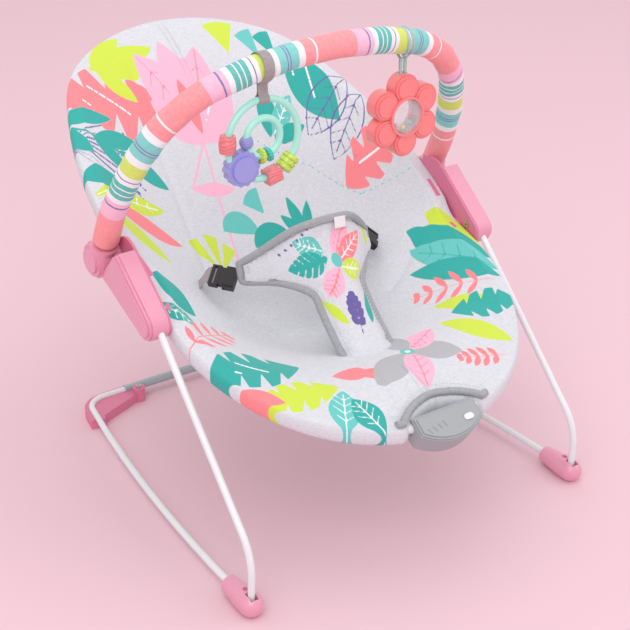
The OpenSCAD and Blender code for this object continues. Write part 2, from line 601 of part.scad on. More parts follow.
// The waist's ends are lower than its middle is tall, so a is squeezed towards the belt there.
belt_a = 0.74;
function belt_squeeze(x) = 1 - 0.55 * ease((abs(x) - 30) / (waist_half_w - 30));
function panel_point(a, x) = let (f = belt_squeeze(x), aa = a < 0.4 ? a : belt_a + (a - belt_a) * f,
        m = mid_line(aa))
    [x, m[0] + waist_back * x * x, m[1] - waist_down * x * x];
harness_rows = 16;
harness_cols = 16;
module harness_panel() {
    cols = harness_cols + 1;
    layer = (harness_rows + 1) * cols;
    points = [for (side = [0, 1], i = [0 : harness_rows], j = [0 : harness_cols])
        let (a = i / harness_rows, x = panel_half_w(a) * (2 * j / harness_cols - 1))
        panel_point(a, x) + side * harness_t * [0, 0.72, -0.69]];
    function id(side, i, j) = side * layer + i * cols + j;
    faces = concat(
        [for (i = [0 : harness_rows - 1], j = [0 : harness_cols - 1]) each [
            [id(0, i, j), id(0, i + 1, j), id(0, i + 1, j + 1)],
            [id(0, i, j), id(0, i + 1, j + 1), id(0, i, j + 1)],
            [id(1, i, j), id(1, i + 1, j + 1), id(1, i + 1, j)],
            [id(1, i, j), id(1, i, j + 1), id(1, i + 1, j + 1)]]],
        [for (i = [0 : harness_rows - 1]) each [
            [id(0, i, 0), id(1, i, 0), id(1, i + 1, 0)], [id(0, i, 0), id(1, i + 1, 0), id(0, i + 1, 0)],
            [id(0, i, harness_cols), id(1, i + 1, harness_cols), id(1, i, harness_cols)],
            [id(0, i, harness_cols), id(0, i + 1, harness_cols), id(1, i + 1, harness_cols)]]],
        [for (j = [0 : harness_cols - 1]) each [
            [id(0, 0, j), id(1, 0, j + 1), id(1, 0, j)], [id(0, 0, j), id(0, 0, j + 1), id(1, 0, j + 1)],
            [id(0, harness_rows, j), id(1, harness_rows, j), id(1, harness_rows, j + 1)],
            [id(0, harness_rows, j), id(1, harness_rows, j + 1), id(0, harness_rows, j + 1)]]]);
    color([0.88, 0.87, 0.91]) place() polyhedron(points, faces);
}

// A frame at the left end of the waist part: +X runs outwards along the webbing.
belt_yaw = 50.5;                // the webbing turns back by this much
belt_dip = -4;                  // and runs up by this much
belt_roll = 38;                 // its width leans by this much
belt_end = panel_point(belt_a, -waist_half_w) + harness_t / 2 * [0, 0.72, -0.69];
module belt_frame() {
    translate(belt_end) rotate([0, 0, 180 - belt_yaw]) rotate([0, belt_dip, 0])
        rotate([-belt_roll, 0, 0]) children();
}
buckle_x = 5;                    // the buckle starts this far past the panel's end
socket_l = 19;
socket_w = 27;
plug_l = 11;
buckle_t = 9;
prong_l = 12;
webbing_t = 1.6;
module slab_x(x0, length, w, t) { translate([x0, -w / 2, -t / 2]) cube([length, w, t]); }
module buckle_socket() {
    belt_frame() difference() {
        union() {
            slab_x(buckle_x, socket_l, socket_w - 6, buckle_t);
            slab_x(buckle_x, socket_l - 5, socket_w, buckle_t - 2);
        }
        slab_x(buckle_x + socket_l - prong_l - 1.5, prong_l + 3, socket_w - 9, buckle_t - 4);
        for (s = [-1, 1]) translate([buckle_x + socket_l - 9, s * (socket_w / 2 - 1), -buckle_t / 2 + 2.2])
            cube([4, 5, buckle_t - 4.4], center = false);
    }
}
module buckle_plug() {
    belt_frame() {
        difference() {
            slab_x(buckle_x + socket_l + gap, plug_l, socket_w - 2, buckle_t - 1);
            slab_x(buckle_x + socket_l + 5, 3, webbing_w + 1, buckle_t + 2);
        }
        for (y = [-7, 0, 7]) translate([buckle_x + socket_l - prong_l + gap, y - 1.2, -1.6])
            cube([prong_l + 1, 2.4, 3.2]);
    }
}
module buckle_socket_left() { color([0.08, 0.08, 0.09]) place() buckle_socket(); }
module buckle_socket_right() { color([0.08, 0.08, 0.09]) place() mirror([1, 0, 0]) buckle_socket(); }
module buckle_plug_left() { color([0.08, 0.08, 0.09]) place() buckle_plug(); }
module buckle_plug_right() { color([0.08, 0.08, 0.09]) place() mirror([1, 0, 0]) buckle_plug(); }

webbing_len = 6;
module waist_strap() {
    belt_frame() slab_x(buckle_x + socket_l + plug_l + gap * 2, webbing_len, webbing_w, webbing_t);
}
module waist_strap_left() { color([0.58, 0.54, 0.55]) place() waist_strap(); }
module waist_strap_right() { color([0.58, 0.54, 0.55]) place() mirror([1, 0, 0]) waist_strap(); }

// ================================================================ vibration unit
// The unit's frame: its face is the XY plane, +Y points up the slope and +Z out of the face.
module unit_frame() { translate([0, unit_c[0], unit_c[1] + 8]) rotate([unit_tilt, 0, 0]) children(); }
unit_wall = 2;
unit_corner = 16;
// A D shape: nearly straight towards the seat, round towards the front.
module unit_outline(off = 0) {
    intersection() {
        translate([0, unit_r - unit_h / 2]) circle(unit_r + off, $fn = 160);
        translate([-unit_half_w - off, -unit_h]) square([2 * (unit_half_w + off), unit_h * 1.5 + off]);
    }
}
unit_r = 62;
parting_z = -unit_front_t;
battery_d = 14.2;
battery_l = 44;
door_l = 48;
door_w = 15;
door_spot = [0, -3.5];           // middle of the battery and its door
button_spot = [22, -1];
module unit_housing() {
    color(grey) place() difference() {
        unit_frame() difference() {
            union() {
                translate([0, 0, parting_z]) linear_extrude(unit_front_t - unit_edge) unit_outline();
                translate([0, 0, -unit_edge - 0.01]) linear_extrude(unit_edge / 2 + 0.11) unit_outline(-1.5);
                translate([0, 0, 0.09 - unit_edge / 2]) linear_extrude(unit_edge / 2 - 0.09)
                    unit_outline(-4);
            }
            translate([0, 0, parting_z - 1]) linear_extrude(unit_front_t - 2 - unit_wall) unit_outline(-2.5);
            translate([button_spot[0], button_spot[1], -20]) button_outline(0.3, 30);
            for (i = [0 : 3]) translate([-30 + i * 7, -2 + i, 0]) rotate([0, 0, 20])
                cube([1.6, 7, 1], center = true);
        }
        front_frame() loop_middle(front_loop, tube_r + gap);
    }
}
module button_outline(off, h) {
    linear_extrude(h) {
        square([5, 7 + 2 * off], center = true);
        for (x = [-1, 1]) translate([x * 2.5, 0]) circle(3.5 + off);
    }
}
module unit_button() {
    color("white") place() unit_frame() translate([button_spot[0], button_spot[1], -6]) {
        button_outline(0, 7.5);
        translate([0, 0, -1]) cylinder(h = 1.01, r = 4.5);
    }
}
module unit_back_cover() {
    color(grey) place() difference() {
        unit_frame() difference() {
            union() {
                translate([0, 0, parting_z - unit_back_t + 3]) linear_extrude(unit_back_t - 3) unit_outline();
                translate([0, 0, parting_z - unit_back_t]) linear_extrude(3.01) unit_outline(-2.5);
            }
            translate([0, 0, parting_z - unit_back_t + unit_wall]) linear_extrude(unit_back_t)
                intersection() {
                    unit_outline(-2.5);
                    translate([-60, -60]) square([120, 60 + door_spot[1] + battery_d / 2 + 1]);
                }
            translate([door_spot[0], door_spot[1], parting_z - unit_back_t - 1])
                cube_c([door_l + 2 * gap, door_w + 2 * gap, unit_wall + 4]);
        }
        front_frame() loop_middle(front_loop, tube_r + gap);
    }
}
module cube_c(s) { translate([-s[0] / 2, -s[1] / 2, 0]) cube(s); }
module unit_battery_door() {
    color(grey) place() unit_frame()
        translate([door_spot[0], door_spot[1], parting_z - unit_back_t]) difference() {
        cube_c([door_l, door_w, unit_wall]);
        translate([door_l / 2 - 4, 0, -1]) cylinder(h = 5, r = 1.35);
        translate([door_l / 2 - 4, 0, -1]) cylinder(h = 1.9, r = 2.6);
    }
}
module unit_door_screw() {
    color("silver") place() unit_frame()
        translate([door_spot[0] + door_l / 2 - 4, door_spot[1], parting_z - unit_back_t]) {
        difference() {
            cylinder(h = 0.85, r = 2.5);
            translate([0, 0, 0]) cube([3, 0.7, 0.8], center = true);
            translate([0, 0, 0]) cube([0.7, 3, 0.8], center = true);
        }
        translate([0, 0, 0.84]) cylinder(h = unit_wall - 0.7, r = 1.3);
    }
}
battery_z = parting_z - unit_back_t + unit_wall + 0.4 + battery_d / 2;
module unit_battery() {
    color([0.75, 0.75, 0.3]) place() unit_frame()
        translate([door_spot[0], door_spot[1], battery_z]) rotate([0, 90, 0]) {
            cylinder(h = battery_l, r = battery_d / 2, center = true);
            cylinder(h = battery_l + 2, r = 2.6, center = true);
        }
}
motor_spot = [-14, -8, -9.3];
motor_r = 3.3;
module unit_motor() {
    color("silver") place() unit_frame() translate(motor_spot) rotate([0, 90, 0]) difference() {
        union() {
            cylinder(h = 12, r = motor_r, center = true);
            cylinder(h = 9, r = 0.75);
        }
    }
}
module unit_motor_weight() {
    color([0.4, 0.4, 0.42]) place() unit_frame() translate(motor_spot + [6.3, 0, 0]) rotate([0, 90, 0])
        difference() {
            union() {
                cylinder(h = 3, r = 1.7);
                intersection() {
                    cylinder(h = 3, r = motor_r - 0.1);
                    translate([-5, -5, 0]) cube([10, 5, 3]);
                }
            }
            translate([0, 0, -1]) cylinder(h = 5, r = 0.75 + fit);
        }
}
module unit_circuit_board() {
    color([0.1, 0.4, 0.2]) place() unit_frame() translate([12, -4, -9.6]) cube_c([26, 12, 1.4]);
}

// ================================================================ toy bar
module bar_frame() { at(bar_start) rotate([90 + bar_lean, 0, 0]) children(); }
rod_stub = bar_start_drop - 9;
module toy_bar_rod() {
    color("silver") place() bar_frame() {
        loop_bar(bar_loop, bar_rod_d / 2, 0, rod_stub, 12);
    }
}
module toy_bar_sleeve() {
    color(coral) place() bar_frame() loop_bar(bar_loop, sleeve_d / 2, bar_rod_d / 2 + gap, 0, 18);
}
// A round knuckle that turns on the hub's pin, with a collar that takes the end of the bar.
module knuckle() {
    side = knuckle_face_x;
    difference() {
        union() {
            side_slab(side, side + knuckle_t - 7) translate(bar_pivot) circle(knuckle_r);
            side_slab(side, side + knuckle_t - 3) translate(bar_pivot) circle(knuckle_r - 2.5);
            side_slab(side, side + knuckle_t) translate(bar_pivot) circle(knuckle_r - 7);
            at(bar_pivot) rotate([bar_lean, 0, 0]) translate([-side - knuckle_t / 2, 0, 0])
                cylinder(h = bar_start_drop - 1, r1 = knuckle_t / 2, r2 = knuckle_t / 2 - 0.6);
        }
        side_slab(side - 1, side + knuckle_t - pin_cover) translate(bar_pivot) circle(pin_r + fit);
        bar_frame() translate([-bar_half_w, 0, 0]) rotate([0, 0, -bar_loop[3]])
            translate([0, -rod_stub - gap, 0])
            rotate([-90, 0, 0]) cylinder(h = 40, r = bar_rod_d / 2 + fit);
    }
}
module knuckle_left() { color(pink) place() knuckle(); }
module knuckle_right() { color(pink) place() mirror([1, 0, 0]) knuckle(); }

// ================================================================ ring toy
// The bar's centre where a toy hangs, as [x, y, z] from the front foot's pivot.
function on_bar(x) = let (h = loop_h(bar_loop, abs(x)))
    [x, bar_start[0] - h * sin(bar_lean), bar_start[1] + h * cos(bar_lean)];
ring_hang = on_bar(-ring_x);
loop_room = 2.8;               // round what a loop hangs on, which slopes
ring_c = ring_hang - [0, 0, sleeve_d / 2 + strap_drop + ring_r + ring_d / 2];
ring_tube_r = ring_d / 2;
inner_c = ring_c + [0, 0, 2];
// A frame with its XY plane in the rings' plane: X right, Y up, Z towards the front.
module ring_frame() { translate(ring_c) rotate([90, 0, 0]) children(); }
module inner_frame() { translate(inner_c) rotate([90, 0, 0]) children(); }
strap_w = 12;
strap_t = 1.2;
module ring_strap() {
    top_r = sleeve_d / 2 + loop_room;
    low_r = ring_tube_r + loop_room;
    drop = ring_hang[2] - (ring_c[2] + ring_r);
    color([0.72, 0.73, 0.74]) place() translate(ring_hang) rotate([0, 90, 0]) {
        difference() {
            union() {
                cylinder(h = strap_w, r = top_r + strap_t, center = true);
                translate([drop, 0, 0]) cylinder(h = strap_w - 2, r = low_r + strap_t, center = true);
                translate([top_r, -strap_t, -strap_w / 2])
                    cube([drop - top_r - low_r, 2 * strap_t, strap_w]);
            }
            cylinder(h = strap_w + 20, r = top_r, center = true);
            translate([drop, 0, 0]) cylinder(h = strap_w + 20, r = low_r, center = true);
        }
    }
}
module outer_ring() {
    color(mint) place() ring_frame() rotate_extrude($fn = 200) translate([ring_r, 0])
        circle(ring_tube_r, $fn = 40);
}
module inner_ring() {
    color(mint) place() inner_frame() rotate_extrude($fn = 160) translate([inner_ring_r, 0])
        circle(ring_tube_r, $fn = 40);
}
disc_spot = [-27, -27, 0];
disc_r = 20;
disc_t = 15;
scallops = 14;
module scalloped_disc() {
    color(lavender) place() difference() {
        ring_frame() translate(disc_spot) {
            translate([0, 0, -disc_t / 2]) linear_extrude(disc_t - 3) {
                circle(disc_r - 1.5);
                for (i = [0 : scallops - 1]) rotate(i * 360 / scallops)
                    translate([disc_r - 3.5, 0]) circle(3.5);
            }
            translate([0, 0, -disc_t / 2]) cylinder(h = disc_t, r = disc_r - 6);
        }
        ring_frame() rotate_extrude($fn = 200) translate([ring_r, 0]) circle(ring_tube_r + fit, $fn = 40);
        inner_frame() rotate_extrude($fn = 160) translate([inner_ring_r, 0])
            circle(ring_tube_r + fit, $fn = 40);
    }
}
// A bead threaded on a ring of radius r: drawn along +Y at the ring's angle a.
module on_ring(r, a) { rotate([0, 0, a]) translate([r, 0, 0]) children(); }
module bead_bore(r) { rotate_extrude($fn = 200) translate([r, 0]) circle(ring_tube_r + 0.4, $fn = 40); }
barrel_angle = 176;
barrel_l = 19;
module barrel_bead() {
    color(coral) place() ring_frame() difference() {
        on_ring(ring_r, barrel_angle) rotate([-90, 0, 0]) {
            translate([0, 0, -barrel_l / 2]) cylinder(h = barrel_l / 2, r1 = 8.2, r2 = 9.6);
            cylinder(h = barrel_l / 2, r1 = 9.6, r2 = 8.2);
        }
        bead_bore(ring_r);
    }
}
cube_angle = -76;
cube_l = 17;
module cube_bead() {
    color(coral) place() ring_frame() difference() {
        on_ring(ring_r, cube_angle) rotate([-90, 0, 0]) translate([0, 0, -cube_l / 2])
            rounded_slab(17, 17, cube_l, 4);
        bead_bore(ring_r);
    }
}
ridge_angle = -47;
ridge_pitch = 6;
module ridged_bead() {
    color(lime) place() ring_frame() difference() {
        on_ring(ring_r, ridge_angle) rotate([-90, 0, 0]) for (i = [-1 : 1])
            translate([0, 0, i * ridge_pitch - ridge_pitch / 2]) {
                cylinder(h = ridge_pitch, r = 8.2);
                translate([0, 0, 1]) cylinder(h = ridge_pitch - 2, r = 9.6);
            }
        bead_bore(ring_r);
    }
}
ball_angle = 185;
module swirl_ball() {
    color(lavender) place() inner_frame() difference() {
        on_ring(inner_ring_r, ball_angle) rotate([-90, 0, 0]) rotate_extrude() intersection() {
            circle(7.6);
            translate([0, -6]) square([10, 12]);
        }
        bead_bore(inner_ring_r);
    }
}
lime_disc_angle = -98;
teal_disc_angle = -74;
small_disc_r = 8.2;
small_disc_t = 5.4;
module small_disc(a) {
    inner_frame() difference() {
        on_ring(inner_ring_r, a) rotate([-90, 0, 0]) {
            cylinder(h = small_disc_t, r = small_disc_r - 1, center = true);
            cylinder(h = small_disc_t - 2, r = small_disc_r, center = true);
        }
        bead_bore(inner_ring_r);
    }
}
module small_disc_lime() { color(lime) place() small_disc(lime_disc_angle); }
module small_disc_teal() { color([0.25, 0.82, 0.72]) place() small_disc(teal_disc_angle); }

// ================================================================ flower toy
flower_hang = on_bar(flower_x);
flower_top_r = petal_ring_r + petal_r;
flower_c = flower_hang - [0, 0, sleeve_d / 2 + ribbon_drop + flower_top_r];
flower_half_t = 11;
module flower_frame() { translate(flower_c) rotate([90, 0, 0]) children(); }
ribbon_w = 3;
ribbon_spread = 3.2;
module flower_ribbons() {
    top_r = sleeve_d / 2 + loop_room;
    drop = sleeve_d / 2 + ribbon_drop;
    color([0.66, 0.78, 0.76]) place() translate(flower_hang) rotate([0, 90, 0]) for (s = [-1, 1])
        translate([0, 0, s * ribbon_spread]) {
            difference() {
                union() {
                    cylinder(h = ribbon_w, r = top_r + 0.8, center = true);
                    translate([top_r, -0.8, -ribbon_w / 2]) cube([drop - top_r + 4, 1.6, ribbon_w]);
                }
                cylinder(h = ribbon_w + 2, r = top_r, center = true);
            }
        }
}
module flower_outline(off = 0) {
    circle(petal_ring_r - 6 + off);
    for (i = [0 : 5]) rotate(90 + i * 60) translate([petal_ring_r, 0]) circle(petal_r + off);
}
module flower_half() {
    difference() {
        union() {
            linear_extrude(flower_half_t - 4) flower_outline();
            linear_extrude(flower_half_t - 1.6) flower_outline(-2);
            linear_extrude(flower_half_t) flower_outline(-5);
            cylinder(h = flower_half_t + 1.6, r = window_r + 3);
        }
        translate([0, 0, -1]) linear_extrude(flower_half_t - 4.6) flower_outline(-4.6);
        translate([0, 0, -1]) cylinder(h = 30, r = window_r + fit);
        translate([0, petal_ring_r + petal_r - 7, -1]) cube_c([10, 16, 2.2]);
    }
}
module flower_front() { color(coral) place() flower_frame() flower_half(); }
module flower_back() { color(coral) place() flower_frame() mirror([0, 0, 1]) flower_half(); }
// The clear capsule: two thin windows joined by a drum that holds the rattle beads.
module flower_window() {
    color([0.9, 0.95, 1, 0.4]) place() flower_frame() difference() {
        cylinder(h = 2 * flower_half_t, r = window_r, center = true);
        cylinder(h = 2 * flower_half_t - 3, r = window_r - 1.5, center = true);
    }
}
module rattle_beads() {
    floor_r = window_r - 1.5 - 3.1;
    color("gold") place() flower_frame() for (i = [0 : 6])
        rotate(-90 + (i - 3) * 21) translate([floor_r - (i % 2) * 0.6, 0, (i % 2) * 6 - 3]) sphere(r = 2.9);
}

rail_wire_left();
rail_wire_right();
rear_cross_tube();
rear_foot_left();
rear_foot_right();
rear_foot_screws();
front_foot_left();
front_foot_right();
leg_left();
leg_right();
hub_outer_left();
hub_outer_right();
hub_inner_left();
hub_inner_right();
hub_screws();
back_tube();
front_tube();
seat_pad();
harness_panel();
buckle_socket_left();
buckle_socket_right();
buckle_plug_left();
buckle_plug_right();
waist_strap_left();
waist_strap_right();
unit_housing();
unit_back_cover();
unit_button();
unit_battery_door();
unit_door_screw();
unit_battery();
unit_motor();
unit_motor_weight();
unit_circuit_board();
toy_bar_rod();
toy_bar_sleeve();
knuckle_left();
knuckle_right();
ring_strap();
outer_ring();
inner_ring();
scalloped_disc();
barrel_bead();
cube_bead();
ridged_bead();
swirl_ball();
small_disc_lime();
small_disc_teal();
flower_ribbons();
flower_front();
flower_back();
flower_window();
rattle_beads();
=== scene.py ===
"""Baby bouncer seat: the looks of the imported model, with its soft pieces modelled anew."""

import json
import logging
import math
from dataclasses import dataclass, field, replace
from enum import Enum
from typing import Iterable, Sequence, Union

import bmesh
import bpy
import numpy as np
from mathutils import Matrix, Vector

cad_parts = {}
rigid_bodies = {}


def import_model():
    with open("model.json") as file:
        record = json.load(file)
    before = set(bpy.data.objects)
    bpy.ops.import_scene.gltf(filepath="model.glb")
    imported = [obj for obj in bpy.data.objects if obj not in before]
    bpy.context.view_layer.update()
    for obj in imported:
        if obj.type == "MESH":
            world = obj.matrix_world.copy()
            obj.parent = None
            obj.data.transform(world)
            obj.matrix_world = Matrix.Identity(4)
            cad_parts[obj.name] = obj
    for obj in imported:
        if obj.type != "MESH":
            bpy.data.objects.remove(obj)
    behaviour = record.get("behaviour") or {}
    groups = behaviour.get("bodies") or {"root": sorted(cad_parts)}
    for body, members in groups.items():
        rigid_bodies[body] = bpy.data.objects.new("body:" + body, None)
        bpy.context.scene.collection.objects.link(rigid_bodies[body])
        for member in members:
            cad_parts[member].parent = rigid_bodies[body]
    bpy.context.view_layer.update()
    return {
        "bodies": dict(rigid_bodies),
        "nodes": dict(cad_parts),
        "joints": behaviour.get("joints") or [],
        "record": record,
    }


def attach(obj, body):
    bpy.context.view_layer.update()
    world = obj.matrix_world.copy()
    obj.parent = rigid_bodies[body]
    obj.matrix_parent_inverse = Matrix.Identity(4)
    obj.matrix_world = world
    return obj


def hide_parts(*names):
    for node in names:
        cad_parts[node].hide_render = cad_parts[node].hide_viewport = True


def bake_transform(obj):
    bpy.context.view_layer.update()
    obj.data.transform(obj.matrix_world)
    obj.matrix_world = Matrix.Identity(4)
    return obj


LOG = logging.getLogger("bouncer")
MM = 0.001
ORIGIN_Y = 251.188  # mm from the front feet's pivot to the row's origin
Colour = tuple[float, float, float]
Value = Union["Sock", float, int, tuple]
Spot = tuple[float, float]


# ---------------------------------------------------------------- shader maths
class Sock:
    """One shader output, whose operators add Math nodes."""

    def __init__(self, graph: "Graph", out: bpy.types.NodeSocket) -> None:
        """Keeps the graph and the socket."""
        self.graph = graph
        self.out = out

    def _math(self, operation: str, a: Value, b: Value) -> "Sock":
        """Adds one Math node and returns its output."""
        return self.graph.add("ShaderNodeMath", {"operation": operation}, {0: a, 1: b})

    def __add__(self, other: Value) -> "Sock":
        """self + other."""
        return self._math("ADD", self, other)

    __radd__ = __add__

    def __sub__(self, other: Value) -> "Sock":
        """self - other."""
        return self._math("SUBTRACT", self, other)

    def __rsub__(self, other: Value) -> "Sock":
        """other - self."""
        return self._math("SUBTRACT", other, self)

    def __mul__(self, other: Value) -> "Sock":
        """self * other."""
        return self._math("MULTIPLY", self, other)

    __rmul__ = __mul__

    def clamp(self) -> "Sock":
        """self kept between 0 and 1."""
        return self._math("MINIMUM", self._math("MAXIMUM", self, 0.0), 1.0)

    def fract(self) -> "Sock":
        """The part of self after the decimal point."""
        return self._math("FRACT", self, 0.0)


class Graph:
    """A material's node tree, built around one Principled BSDF."""

    def __init__(self, name: str) -> None:
        """Makes an empty material with its surface shader."""
        self.material = bpy.data.materials.new(name)
        self.material.use_nodes = True
        self.tree = self.material.node_tree
        self.tree.nodes.clear()
        self.bsdf = self.tree.nodes.new("ShaderNodeBsdfPrincipled")
        output = self.tree.nodes.new("ShaderNodeOutputMaterial")
        self.tree.links.new(self.bsdf.outputs[0], output.inputs[0])

    def add(self, kind: str, settings: dict, values: dict, out: Union[int, str] = 0) -> Sock:
        """Adds a node.

        Args:
            kind: the node's type.
            settings: its properties, set first; "stops" fills a colour ramp.
            values: an input's name or index, with a number, a colour or a Sock.
            out: which output is wanted.

        Returns:
            The output, wrapped.
        """
        node = self.tree.nodes.new(kind)
        for key, value in settings.items():
            if key == "stops":
                ramp = node.color_ramp
                while len(ramp.elements) < len(value):
                    ramp.elements.new(1.0)
                for element, (place, colour) in zip(ramp.elements, value):
                    element.position = place
                    element.color = (*colour, 1.0)
            elif key == "interpolation":
                node.color_ramp.interpolation = value
            else:
                setattr(node, key, value)
        for key, value in values.items():
            self.put(node.inputs[key], value)
        return Sock(self, node.outputs[out])

    def put(self, socket: bpy.types.NodeSocket, value: Value) -> None:
        """Links a Sock to an input, or sets its value."""
        if isinstance(value, Sock):
            self.tree.links.new(value.out, socket)
        elif socket.type == "RGBA" and len(value) == 3:
            socket.default_value = (*value, 1.0)
        else:
            socket.default_value = value

    def set(self, **values: Value) -> None:
        """Sets inputs of the surface shader; an underscore stands for a space."""
        for key, value in values.items():
            self.put(self.bsdf.inputs[key.replace("_", " ")], value)

    def mix(self, share: Value, a: Value, b: Value) -> Sock:
        """A colour between a and b."""
        return self.add("ShaderNodeMix", {"data_type": "RGBA"}, {0: share, 6: a, 7: b}, 2)

    def place(self) -> Sock:
        """The piece's own coordinates, in metres."""
        return self.add("ShaderNodeTexCoord", {}, {}, "Object")

    def noise(self, scale: float, detail: float = 3.0, stretch: tuple = (1.0, 1.0, 1.0)) -> Sock:
        """Noise between 0 and 1 over the piece, stretched along its axes."""
        where = self.add("ShaderNodeVectorMath", {"operation": "MULTIPLY"}, {0: self.place(), 1: stretch})
        return self.add("ShaderNodeTexNoise", {}, {"Vector": where, "Scale": scale, "Detail": detail})

    def attribute(self, name: str) -> Sock:
        """A number that the mesh stores at each vertex."""
        return self.add("ShaderNodeAttribute", {"attribute_name": name}, {}, "Fac")

    def bump(self, height: Value, strength: float, distance: float = 0.001) -> None:
        """Dents the surface's normal by a height."""
        self.set(Normal=self.add("ShaderNodeBump", {}, {"Height": height, "Strength": strength,
                                                        "Distance": distance}))


# ---------------------------------------------------------------- finishes
class Ink(Enum):
    """The colours of the fabric print, in the order in which they lie over each other."""

    PINK = (0.93, 0.47, 0.62)
    LIME = (0.60, 0.76, 0.05)
    AQUA = (0.12, 0.56, 0.52)
    TEAL = (0.012, 0.40, 0.355)
    CORAL = (0.93, 0.235, 0.26)
    LILAC = (0.13, 0.10, 0.34)
    WHITE = (0.90, 0.90, 0.92)
    GREY = (0.44, 0.45, 0.47)


@dataclass(frozen=True)
class Finish:
    """A plain finish with a little natural variation.

    Attributes:
        colour: its base colour.
        roughness: its mean roughness.
        metallic: 1 for bare metal.
        coat: weight of a clear coat.
        mottle: how much the colour varies.
        grain: scale of the variation.
        dent: strength of the fine bumps.
    """

    colour: Colour
    roughness: float = 0.4
    metallic: float = 0.0
    coat: float = 0.0
    mottle: float = 0.03
    grain: float = 30.0
    dent: float = 0.03

    def material(self, name: str) -> bpy.types.Material:
        """Builds the material."""
        graph = Graph(name)
        noise = graph.noise(self.grain)
        dark = tuple(c * (1.0 - self.mottle) for c in self.colour)
        graph.set(Base_Color=graph.mix(noise, dark, self.colour), Metallic=self.metallic,
                  Roughness=noise * 0.08 + (self.roughness - 0.04), Coat_Weight=self.coat,
                  Coat_Roughness=0.08)
        graph.bump(graph.noise(self.grain * 14), self.dent, 0.0004)
        return graph.material


@dataclass(frozen=True)
class Relief:
    """A glossy bead with a moulded swirl in it, with painted shade in the swirl's grooves."""

    colour: Colour
    pitch: float = 330.0

    def material(self, name: str) -> bpy.types.Material:
        """Builds the material."""
        graph = Graph(name)
        swirl = graph.add("ShaderNodeTexWave", {"wave_type": "RINGS", "rings_direction": "SPHERICAL"},
                          {"Vector": graph.place(), "Scale": self.pitch / 4, "Distortion": 9.0,
                           "Detail": 1.0}, 1)
        # painted shade: the swirl's grooves, where the bump sinks, are coloured darker than its ridges
        deep = tuple(c * 0.80 for c in self.colour)
        graph.set(Base_Color=graph.mix(swirl, deep, self.colour), Roughness=0.25, Coat_Weight=0.4,
                  Coat_Roughness=0.08)
        graph.bump(swirl, 0.5, 0.0012)
        return graph.material


@dataclass(frozen=True)
class Weave:
    """A plain fabric: fine heather threads and a soft surface."""

    light: Colour
    dark: Colour
    roughness: float = 0.88

    def threads(self, graph: Graph) -> Sock:
        """The heather's colour."""
        across = graph.noise(520.0, 2.0, (0.25, 1.0, 1.0))
        along = graph.noise(520.0, 2.0, (1.0, 0.2, 1.0))
        return graph.mix((across * 0.9 + along * 0.9 - 0.4).clamp(), self.dark, self.light)

    def material(self, name: str) -> bpy.types.Material:
        """Builds the material."""
        graph = Graph(name)
        self.finish(graph, self.threads(graph))
        return graph.material

    def finish(self, graph: Graph, colour: Sock) -> None:
        """Sets the fabric's surface under a colour."""
        graph.set(Base_Color=colour, Roughness=self.roughness, Sheen_Weight=0.15)
        graph.bump(graph.noise(900.0, 2.0), 0.22, 0.0006)


@dataclass(frozen=True)
class Printed(Weave):
    """Heather fabric with a print, whose layers are stored on the mesh."""

    def material(self, name: str) -> bpy.types.Material:
        """Builds the material."""
        graph = Graph(name)
        colour = self.threads(graph)
        for ink in Ink:
            mask = (graph.attribute(ink.name.lower()) * 1.6 + 0.5).clamp()
            tint = graph.noise(420.0, 2.0) * 0.12 + 0.90
            body = graph.mix(tint, tuple(c * 0.55 + 0.4 for c in ink.value), ink.value)
            colour = graph.mix(mask, colour, body)
        self.finish(graph, colour)
        return graph.material


@dataclass(frozen=True)
class Stripes:
    """Striped jersey round the toy bar. The bar's length is stored on the mesh, in periods."""

    bands: tuple[tuple[float, Colour], ...]

    def material(self, name: str) -> bpy.types.Material:
        """Builds the material."""
        graph = Graph(name)
        stops, place = [], 0.0
        total = sum(width for width, _ in self.bands)
        for width, colour in self.bands:
            stops.append((place / total, colour))
            place += width
        wobble = graph.noise(60.0) * 0.012 - 0.006
        colour = graph.add("ShaderNodeValToRGB", {"stops": stops, "interpolation": "CONSTANT"},
                           {0: (graph.attribute("period") + wobble).fract()})
        shade = graph.noise(260.0, 3.0) * 0.25
        graph.set(Base_Color=graph.mix(shade, colour, (0.93, 0.90, 0.90)), Roughness=0.85,
                  Sheen_Weight=0.12)
        graph.bump(graph.noise(700.0, 2.0) + graph.noise(70.0) * 2.0, 0.25, 0.001)
        return graph.material


@dataclass(frozen=True)
class Clear:
    """A clear moulding."""

    alpha: float = 0.2

    def material(self, name: str) -> bpy.types.Material:
        """Builds the material."""
        graph = Graph(name)
        graph.set(Base_Color=(0.95, 0.97, 1.0), Roughness=0.05, Alpha=self.alpha, IOR=1.5)
        return graph.material


@dataclass(frozen=True)
class Balls:
    """Bright balls, each with a colour of its own by its place from left to right."""

    left: float
    right: float
    colours: tuple[Colour, ...]

    def material(self, name: str) -> bpy.types.Material:
        """Builds the material."""
        graph = Graph(name)
        across = graph.add("ShaderNodeSeparateXYZ", {}, {0: graph.place()}, 0)
        share = (across - self.left) * (1.0 / (self.right - self.left))
        stops = [(i / len(self.colours), c) for i, c in enumerate(self.colours)]
        graph.set(Base_Color=graph.add("ShaderNodeValToRGB",
                                       {"stops": stops, "interpolation": "CONSTANT"}, {0: share}),
                  Roughness=0.3, Coat_Weight=0.4)
        return graph.material


# ---------------------------------------------------------------- meshes
def linked(name: str, data: bpy.types.ID) -> bpy.types.Object:
    """Makes an object of some data and puts it in the scene."""
    piece = bpy.data.objects.new(name, data)
    bpy.context.collection.objects.link(piece)
    return piece


